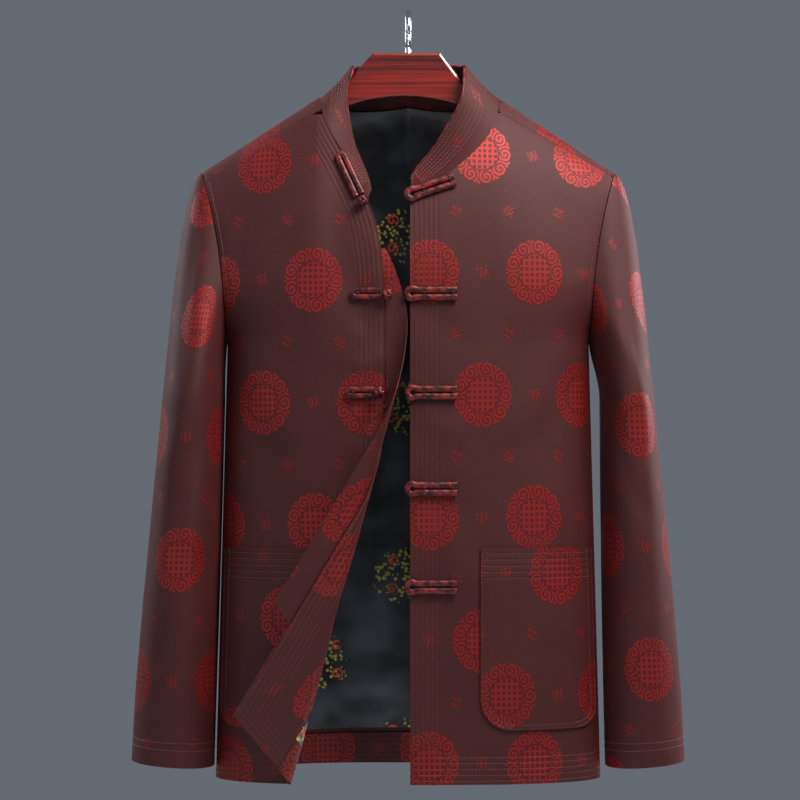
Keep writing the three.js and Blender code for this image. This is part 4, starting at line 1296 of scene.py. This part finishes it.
backRuns = []
for upward in stitchRows["hem"]:
    x = steps(-hemX + 5, hemX - 5, 260)
    backRuns.append(surface(backPanel, x, np.full(x.shape, hemZ + upward), 0))
    x = steps(-170, 176, 220)
    behind = backSizes["liningDepth"][1] - 0.1
    path, normal = surface(backPanel, x, np.full(x.shape, hemZ + upward), behind)
    backRuns.append((path, -normal))
for side in (-1, 1):
    seam = (side * backShares > 0.455) & (np.abs(backShares) < 0.985)
    for row in (2, 5):
        backRuns.append((backOuter[row][seam], backNormal[row][seam]))
stitchPiece("backStitches", backRuns)
print("back made")

# Sleeves.

sleeveSizes = {
    "rows": (  # height, outer side, depth front to back, place of the middle
        (-426, 272, 150, 0), (-530, 282, 138, -2), (-640, 293, 126, -5), (-740, 301, 116, -8),
        (-825.5, 305.5, 108, -10)),
    "innerLeft": (213, 213.5, 214.5, 216, 218),
    "innerRight": (203.4, 205.8, 208.8, 211.8, 214.4),
    "oval": 2.2,
    "girth": 330.0,  # turns an angle to millimetres
    "cuffTilt": 3.5,
    "around": 96,
    "headRings": 40,
    "downRings": 150,
    "roundelLeft": (252, -452),
    "roundelRight": (-248, -600),
}
# Angle 0 is the outer side and a quarter turn the front, in turns; heights are along the sleeve.
sleeveCreases = {
    "Left": [
        {"start": (0.10, -205), "end": (0.20, -420), "sag": 8, "width": 15, "height": -2.2},
        {"start": (0.30, -330), "end": (0.16, -470), "sag": -7, "width": 14, "height": 1.8},
        {"start": (0.34, -430), "end": (0.20, -560), "sag": 9, "width": 16, "height": -1.9},
        {"start": (0.24, -520), "end": (0.30, -790), "sag": -10, "width": 20, "height": 1.9},
        {"start": (0.10, -600), "end": (0.14, -820), "sag": 9, "width": 18, "height": -1.5},
        {"start": (0.62, -330), "end": (0.80, -450), "sag": 9, "width": 18, "height": 2.2},
        {"start": (0.70, -470), "end": (0.86, -600), "sag": -9, "width": 20, "height": -2.2},
        {"start": (0.78, -600), "end": (0.72, -820), "sag": 8, "width": 22, "height": 1.8},
    ],
    "Right": [
        {"start": (0.13, -210), "end": (0.22, -400), "sag": -8, "width": 15, "height": -2.4},
        {"start": (0.28, -340), "end": (0.18, -500), "sag": 8, "width": 16, "height": 2.0},
        {"start": (0.33, -450), "end": (0.22, -600), "sag": -8, "width": 15, "height": -1.8},
        {"start": (0.22, -560), "end": (0.27, -800), "sag": 9, "width": 20, "height": 2.1},
        {"start": (0.08, -560), "end": (0.13, -780), "sag": -8, "width": 18, "height": -1.6},
        {"start": (0.64, -340), "end": (0.83, -440), "sag": -8, "width": 18, "height": 2.0},
        {"start": (0.72, -480), "end": (0.84, -630), "sag": 10, "width": 20, "height": -2.4},
        {"start": (0.76, -610), "end": (0.70, -815), "sag": -9, "width": 22, "height": 1.9},
    ],
}


def evenLoop(side, around):
    z = lerp(tipZ, underarmZ, np.sin(np.linspace(0, 1, 160) * math.pi / 2) ** 1.4)

    def branch(face):
        points = skin(side * sideX(z), z, face)
        points[0, 1] = points[-1, 1] = 0
        along = np.concatenate([[0], np.cumsum(np.linalg.norm(np.diff(points, axis=0), axis=-1))])
        at = np.linspace(0, along[-1], around // 2 + 1)
        return np.stack([np.interp(at, along, points[:, k]) for k in range(3)], -1)

    return np.concatenate([branch(-1), branch(1)[1:-1][::-1]])


def sleeveGrid(side, inner):
    around = sleeveSizes["around"]
    armhole = evenLoop(side, around)
    angle = 2 * np.pi * np.arange(around) / around
    power = 2 / sleeveSizes["oval"]
    across = np.sign(np.cos(angle)) * np.abs(np.cos(angle)) ** power
    deep = np.sign(np.sin(angle)) * np.abs(np.sin(angle)) ** power
    top = (1 + np.cos(angle)) / 2
    rowZ, outer, depth, rowY = (np.array(column, float) for column in zip(*sleeveSizes["rows"]))

    def oval(z):
        at = -z
        o, i, d, y = (np.interp(at, -rowZ, column) for column in (outer, inner, depth, rowY))
        tilt = sleeveSizes["cuffTilt"] * smoothstep(at, -rowZ[-2], -rowZ[-1])
        x = side * ((o + i) / 2 + (o - i) / 2 * across)
        return np.stack([x, y - d / 2 * deep, z + tilt * across], -1)

    bicep = oval(rowZ[0])
    leave = np.stack([side * lerp(8, 70, top), -22 * np.sin(angle), -lerp(60, 30, top)], -1)
    arrive = np.stack([side * 28 * top, 0 * top, -lerp(60, 260, top)], -1)
    rings = []
    for t in steps(0, 1, sleeveSizes["headRings"])[:-1]:
        ring = armhole * (2 * t**3 - 3 * t * t + 1) + leave * (t**3 - 2 * t * t + t)
        ring = ring + bicep * (3 * t * t - 2 * t**3) + arrive * (t**3 - t * t)
        ring[:, 0] += side * form["armholeGap"] * (1 - t)
        rings.append(ring)
    rings += [oval(z) for z in steps(rowZ[0], rowZ[-1], sleeveSizes["downRings"])]
    return np.array(rings)


cuffRuns = []
for name, side in (("Left", 1), ("Right", -1)):
    plain = sleeveGrid(side, sleeveSizes["inner" + name])
    normal = gridNormals(plain, True) * -side
    turns = np.broadcast_to(np.arange(sleeveSizes["around"]) / sleeveSizes["around"], plain.shape[:2])
    height = 0
    for crease in sleeveCreases[name]:
        ends = {end: (crease[end][0] * sleeveSizes["girth"], crease[end][1]) for end in ("start", "end")}
        height = height + creaseHeight([{**crease, **ends}], turns * sleeveSizes["girth"], plain[..., 2])
    fadeIn = smoothstep(np.arange(len(plain)), 2, 14)[:, None]
    fromCuff = np.linalg.norm(plain - plain[-1:], axis=-1)
    height = height * fadeIn + channels(fromCuff, stitchRows["cuff"])
    outer = plain + normal * height[..., None]
    at = np.array([sleeveSizes["roundel" + name][0], -70, sleeveSizes["roundel" + name][1]])
    shift = sleeveSizes["around"] // 2
    rolled = np.roll(outer, -shift, 1)  # the seam under the arm is where the cloth's two edges meet
    rolledNormal = np.roll(normal, -shift, 1)
    start = np.zeros(len(plain))
    outerOpen = np.concatenate([rolled, rolled[:, :1]], 1)
    cloth = flatPlaces(outerOpen, start, at, False, (1, 2), sleeveSizes["rows"][0][0])
    frontColumn = sleeveSizes["around"] * 3 // 4
    cloth[..., 0] -= cloth[:, frontColumn, 0].copy()[:, None]
    away = (outerOpen - at)[..., (0, 2)] + 900 * (outerOpen[..., 1:2] > 0)  # never a place behind
    cloth -= cloth.reshape(-1, 2)[np.argmin(np.linalg.norm(away, axis=-1))].copy()
    innerOpen = outerOpen - np.concatenate([rolledNormal, rolledNormal[:, :1]], 1) * form["wall"]
    sleeve = shell("sleeve" + name, outerOpen, innerOpen, cloth, "jacquard", side > 0, False, "lining")
    place(sleeve, ["sleeve_" + name.lower()])
    declareSheet(sleeve, outerOpen)
    for up in stitchRows["cuff"]:
        row = int(np.argmin(np.abs(fromCuff[:, 0] - up)))
        path = np.concatenate([outer[row], outer[row][:1]])
        cuffRuns.append((path, np.concatenate([normal[row], normal[row][:1]])))
stitchPiece("cuffStitches", cuffRuns)
print("sleeves made")

# Collar.

collarSizes = {
    "wall": 3.0,
    "corner": 15,
    "bulge": 1.5,
    "sunk": 1.0,  # how far it goes into the neck seam
    "piping": 1.3,
    "heights": 36,
    "across": 150,
    "lean": (  # place along the neck, then the lean from neck seam to top edge
        (0, 2, 32, 27), (0.25, -15, 31, 28), (0.5, -26, 22, 33), (0.75, -32, 10, 34), (1, -35, 0, 37),
        (1.15, -24, -10, 41), (1.5, 0, -16, 40), (1.85, 22, -10, 41), (2, 33, 0, 36), (2.25, 24, 14, 33),
        (2.5, 14, 27, 29), (2.75, 5, 35, 25), (3, 3, 37, 22),
    ),
}


def neckSeam(at):
    at = np.asarray(at, float)
    left = bezier(frontEdges["neckCurveLeft"], np.clip(1 - at, 0, 1))
    right = bezier(frontEdges["neckCurveRight"], np.clip(at - 2, 0, 1))
    x = lerp(frontEdges["neckCurveLeft"][0][0], frontEdges["neckCurveRight"][0][0], np.clip(at - 1, 0, 1))
    z = ridgeZ(x) - form["neckDrop"] * np.maximum(0, 1 - (x / neckSideX) ** 2)
    result = skin(x, z, 1)
    result = np.where((at <= 1)[..., None], skin(left[..., 0], left[..., 1], -1), result)
    return np.where((at >= 2)[..., None], skin(right[..., 0], right[..., 1], -1), result)


def leanAt(at):
    table = np.array(collarSizes["lean"], float)
    slopes = np.gradient(table[:, 1:], table[:, 0], axis=0)
    i = np.clip(np.searchsorted(table[:, 0], at) - 1, 0, len(table) - 2)
    span = (table[i + 1, 0] - table[i, 0])[..., None]
    t = (at[..., None] - table[i, 0][..., None]) / span
    first, last = table[i, 1:], table[i + 1, 1:]
    return (first * (2 * t**3 - 3 * t * t + 1) + slopes[i] * span * (t**3 - 2 * t * t + t)
            + last * (3 * t * t - 2 * t**3) + slopes[i + 1] * span * (t**3 - t * t))


collarPlaces = np.concatenate([
    steps(0, 0.12, 16), steps(0.12, 2.88, collarSizes["across"])[1:], steps(2.88, 3, 16)[1:]])


def collarGrid(lift):
    seam = neckSeam(collarPlaces)
    lean = leanAt(collarPlaces)
    tall = np.linalg.norm(lean, axis=-1)
    fromStart, fromEnd = (np.linalg.norm(seam - end, axis=-1) for end in (seam[0], seam[-1]))
    fromEnds = np.minimum(fromStart, fromEnd)
    corner = collarSizes["corner"]
    short = np.maximum(corner - fromEnds, 0)
    share = 1 - (corner - np.sqrt(corner**2 - short**2)) / tall
    around = neckSeam(np.minimum(collarPlaces + 0.01, 3)) - neckSeam(np.maximum(collarPlaces - 0.01, 0))
    out = np.cross(lean, around)
    out /= np.linalg.norm(out, axis=-1, keepdims=True)
    low = (lift - collarSizes["sunk"]) / tall
    rows = []
    for up in steps(0, 1, collarSizes["heights"]):
        at = lerp(low, 1, up)
        bulge = collarSizes["bulge"] * np.sin(np.pi * at)
        rows.append(seam + lean * (at * share)[:, None] + out * bulge[:, None])
    return np.array(rows), tall * share


collarPlain, collarTall = collarGrid(0)
collarNormal = gridNormals(collarPlain)
collarInner, _ = collarGrid(0.5)
collarInner = collarInner + gridNormals(collarInner) * collarSizes["wall"]
fromTop = (1 - steps(0, 1, collarSizes["heights"]))[:, None] * collarTall[None]
collarDip = channels(fromTop, stitchRows["collar"])
collarOuter = collarPlain - collarNormal * collarDip[..., None]
collarInner = collarInner + collarNormal * channels(fromTop, stitchRows["collar"])[..., None]
collarCloth = flatPlaces(collarPlain, 0 * collarPlain[:, 0, 0], collarPlain[10, 34])
collarCloth += np.array([0, jacquardLook["roundelDown"] / 4]) - collarCloth[collarSizes["heights"] // 2, 75]
collarPiece = shell("standCollar", collarOuter, collarInner, collarCloth, "jacquard", True)
place(collarPiece, ["collar"])
declareSheet(collarPiece, collarPlain)

collarRuns = []
for fromEdge in stitchRows["collar"]:
    share = 1 - fromEdge / np.maximum(collarTall, fromEdge + 1)
    index = share * collarSizes["heights"]
    low = np.clip(index.astype(int), 0, collarSizes["heights"] - 1)
    t = (index - low)[:, None]
    columns = np.arange(len(collarPlaces))
    inset = int(3 + fromEdge / 4)
    path = collarOuter[low, columns] * (1 - t) + collarOuter[low + 1, columns] * t
    collarRuns.append((path[inset:-inset], -collarNormal[low, columns][inset:-inset]))
    path = collarInner[low, columns] * (1 - t) + collarInner[low + 1, columns] * t
    collarRuns.append((path[inset:-inset], collarNormal[low, columns][inset:-inset]))
stitchPiece("collarStitches", collarRuns)

pipingPath = (collarOuter[-1] + collarInner[-1]) / 2
lift = leanAt(collarPlaces)
lift /= np.linalg.norm(lift, axis=-1, keepdims=True)
pipingPoints, pipingFaces = tube(pipingPath + lift * 1.2, lift, 1.5, collarSizes["piping"], 10)
collarPiping = addMesh("collarPiping", pipingPoints, pipingFaces, "rouleau")
place(collarPiping, ["collar_piping"])
print("collar made")

# Frog fastenings.

frogSizes = {
    "halfWidth": 3.4,
    "halfThick": 1.9,
    "apart": 4.05,
    "stretch": 47,
    "eye": 5.4,
    "lift": 3.3,
    "loops": ((4, -203, 19), (4, -311, 0), (4, -418, 0), (4, -522, 0), (4, -628, 0)),  # x, z, tilt in degrees
    "tails": (  # x, z, tilt, length, then the knot's own x and z
        (-53, -204, 115, 50, -49, -211), (-29, -311, 180, 31, -22, -312), (-35, -418, 180, 30, -28, -418),
        (-33.5, -522, 180, 32, -25, -522), (-35, -628, 180, 36, -27, -628)),
    "tailApart": 3.5,
    "tailHalfWidth": 2.9,
    "knotRadius": 4.1,
    "knotCord": 1.75,
    "knotLift": 6.0,
    "barLift": 0.35,  # the stitches across a cord, above its top
}
barOff = frogSizes["lift"] + frogSizes["halfThick"] + frogSizes["barLift"]


def layOn(panel, x, z, tilt, plan, off):
    angle = math.radians(tilt)
    a, b = plan[:, 0], plan[:, 1]
    c, s = math.cos(angle), math.sin(angle)
    return surface(panel, x + a * c - b * s, z + a * s + b * c, off)


def crossBars(panel, x, z, tilt, spots, halfSpan):
    runs = []
    for spot in spots:
        plan = np.array([(spot, b) for b in steps(-halfSpan, halfSpan, 8)])
        runs.append(layOn(panel, x, z, tilt, plan, barOff))
    return runs


loopBend = np.radians(steps(50, 310, 22))
loopEye = np.stack([frogSizes["eye"] * np.cos(loopBend), frogSizes["eye"] * np.sin(loopBend)], -1)
loopRun = steps(frogSizes["stretch"], 8, 26)
loopPlan = np.concatenate([
    np.stack([loopRun, 0 * loopRun + frogSizes["apart"]], -1), loopEye,
    np.stack([loopRun[::-1], 0 * loopRun - frogSizes["apart"]], -1)])
frogRuns = []
for number, (x, z, tilt) in enumerate(frogSizes["loops"], 1):
    path, ups = layOn(smoothLeft, x, z, tilt, loopPlan, frogSizes["lift"])
    wobble = 1 + 0.05 * np.sin(np.arange(len(path)) * 0.9 + number)
    points, faces = tube(path, ups, frogSizes["halfWidth"], frogSizes["halfThick"], 14, False, wobble)
    folds = []
    for bend in (frogSizes["apart"], -frogSizes["apart"]):  # each cord's end is turned under
        plan = np.array([(frogSizes["stretch"] + a, bend) for a in (-4, -2, 0, 1.4)])
        endPath, endUps = layOn(smoothLeft, x, z, tilt, plan, frogSizes["lift"] + 0.3)
        folds.append(tube(endPath, endUps, frogSizes["halfWidth"] * 1.12, frogSizes["halfThick"] * 1.1, 12))
    points, faces = joined([(points, faces)] + folds)
    place(addMesh("frogLoop%d" % number, points, faces, "rouleau"), ["loop_%d" % number])
    frogRuns += crossBars(smoothLeft, x, z, tilt, (12.5, 13.6, 43.2, 44.4), 7.0)


def knotPath(middle, up, count=220):
    # three leads and four bights, with the middle left hollow
    s = np.linspace(0, 2 * np.pi, count, endpoint=False)
    longitude = 3 * s
    latitude = np.radians(52) * np.sin(4 * s)
    radius = frogSizes["knotRadius"] + 0.45 * np.cos(8 * s + 0.8)
    helper = np.array([0, 0, 1.0]) if abs(up[2]) < 0.8 else np.array([1.0, 0, 0])
    side = np.cross(up, helper)
    side /= np.linalg.norm(side)
    front = np.cross(side, up)
    flat = np.cos(latitude)
    way = (flat * np.cos(longitude))[:, None] * side + (flat * np.sin(longitude))[:, None] * front
    way = way + np.sin(latitude)[:, None] * up
    return middle + way * radius[:, None], way


for number, (x, z, tilt, length, knotX, knotZ) in enumerate(frogSizes["tails"], 1):
    apart = frogSizes["tailApart"]
    run = steps(0, length - apart, 22)
    bend = np.radians(steps(80, -80, 10))
    bendPlan = np.stack([length - apart + apart * np.cos(bend), apart * np.sin(bend)], -1)
    plan = np.concatenate([
        np.stack([run, 0 * run + apart], -1), bendPlan, np.stack([run[::-1], 0 * run - apart], -1)])
    path, ups = layOn(smoothRight, x, z, tilt, plan, frogSizes["lift"])
    tailTube = tube(path, ups, frogSizes["tailHalfWidth"], frogSizes["halfThick"], 14)
    place(addMesh("knotTail%d" % number, *tailTube, "rouleau"), ["button_tail_%d" % number])
    frogRuns += crossBars(smoothRight, x, z, tilt, (4.0, length - 5.0, length - 6.2), 6.0)
    middle, up = surface(smoothRight, [knotX], [knotZ], frogSizes["knotLift"])
    ball, ballUps = knotPath(middle[0], up[0])
    knotTube = tube(ball, ballUps, frogSizes["knotCord"], frogSizes["knotCord"], 10, True)
    place(addMesh("knotButton%d" % number, *knotTube, "rouleau"), ["button_%d" % number])
stitchPiece("frogStitches", frogRuns)
print("fastenings made")

# Sheets.

declareSheet(frontLeft, frontLeftPlain)
declareSheet(frontRight, frontRightPlain)
declareSheet(backPiece, backPlain)
declareSheet(underlap, underlapPlain)
declareSheet(facing, facingPlain)
declareSheet(hemFacingRight, hemFacingRightPlain)
declareSheet(liningRight, liningRightPlain)
declareSheet(liningBack, liningBackPlain)
declareSheet(hemFacingBack, hemFacingBackPlain)
for name, (width, length, area) in flatSizes.items():
    print("sheet %s: %.3f x %.3f m, %.4f m2" % (name, width, length, area))

# Hanger and hook.

hookSizes = {"wire": 3.5, "inner": 16.0, "from": 38, "to": 285, "stemTop": -41}  # the two turns in degrees


def makeHook():
    radius = hookSizes["inner"] + hookSizes["wire"]
    angle = np.radians(steps(hookSizes["from"], hookSizes["to"], 90))
    arc = np.stack([0 * angle, radius * np.sin(angle), -hookSizes["inner"] - radius * np.cos(angle)], -1)
    stem = np.array([(0, 0, hookSizes["stemTop"] + 0.4), (0, 0.1, -38.5), (0, 1.6, -35.6), (0, 5, -33.6)])
    path = np.concatenate([stem, arc])
    swell = np.ones(len(path))
    swell[-3:] = (0.94, 0.8, 0.5)  # the tip is rounded off
    ups = np.tile([1.0, 0, 0], (len(path), 1))
    points, faces = tube(path, ups, hookSizes["wire"], hookSizes["wire"], 28, False, swell)
    return place(addMesh("hookRod", points, faces, "hook_metal"), ["hanger_hook"])


makeHook()
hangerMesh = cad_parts["hanger"]
for spot in hangerMesh.material_slots:
    spot.material = finishes["hanger_wood"]
print("hanger finished")

# Floor and light.

stageSizes = {"floorZ": -1.25, "radius": 2.2, "sky": "#70767f", "skyPower": 0.8}  # metres
lights = {  # place and aim in metres, size in metres, power in watts
    "key": {
        "place": (0.7, -0.75, 0.85), "aim": (0.05, 0.0, -0.15), "size": 0.8, "power": 44, "colour": "#fff6ef"},
    "fill": {
        "place": (-1.5, -1.6, 0.1), "aim": (0.0, 0.0, -0.5), "size": 1.8, "power": 9, "colour": "#f4f6fc"},
    "edgeRight": {
        "place": (1.5, 0.7, 0.1), "aim": (0.2, 0.0, -0.4), "size": 1.0, "power": 20, "colour": "#f8faff"},
    "edgeLeft": {
        "place": (-1.5, 0.7, 0.3), "aim": (-0.2, 0.0, -0.4), "size": 1.0, "power": 16, "colour": "#f8faff"},
}


def makeStage():
    radius, floorZ = stageSizes["radius"], stageSizes["floorZ"]
    angles = np.linspace(0, 2 * np.pi, 96, endpoint=False)
    rim = [(radius * math.cos(a), radius * math.sin(a), floorZ) for a in angles]
    mesh = bpy.data.meshes.new("floor")
    mesh.from_pydata(rim, [], [tuple(range(len(rim)))])
    mesh.materials.append(finishes["floor"])
    floor = bpy.data.objects.new("floor", mesh)
    bpy.context.scene.collection.objects.link(floor)
    for name, row in lights.items():
        data = bpy.data.lights.new(name, "AREA")
        data.size = row["size"]
        data.energy = row["power"]
        data.color = toLinear(row["colour"])[:3]
        lamp = bpy.data.objects.new(name, data)
        bpy.context.scene.collection.objects.link(lamp)
        lamp.location = row["place"]
        away = np.array(row["aim"]) - np.array(row["place"])
        tilt = math.acos(-away[2] / np.linalg.norm(away))
        lamp.rotation_euler = (tilt, 0, math.atan2(-away[0], away[1]))
    world = bpy.data.worlds.new("studio")
    world.use_nodes = True
    background = world.node_tree.nodes["Background"]
    fillInputs(world.node_tree, background, {0: toLinear(stageSizes["sky"]), 1: stageSizes["skyPower"]})
    bpy.context.scene.world = world
    bpy.context.scene.view_settings.view_transform = "Standard"


makeStage()
print("stage and lights placed")
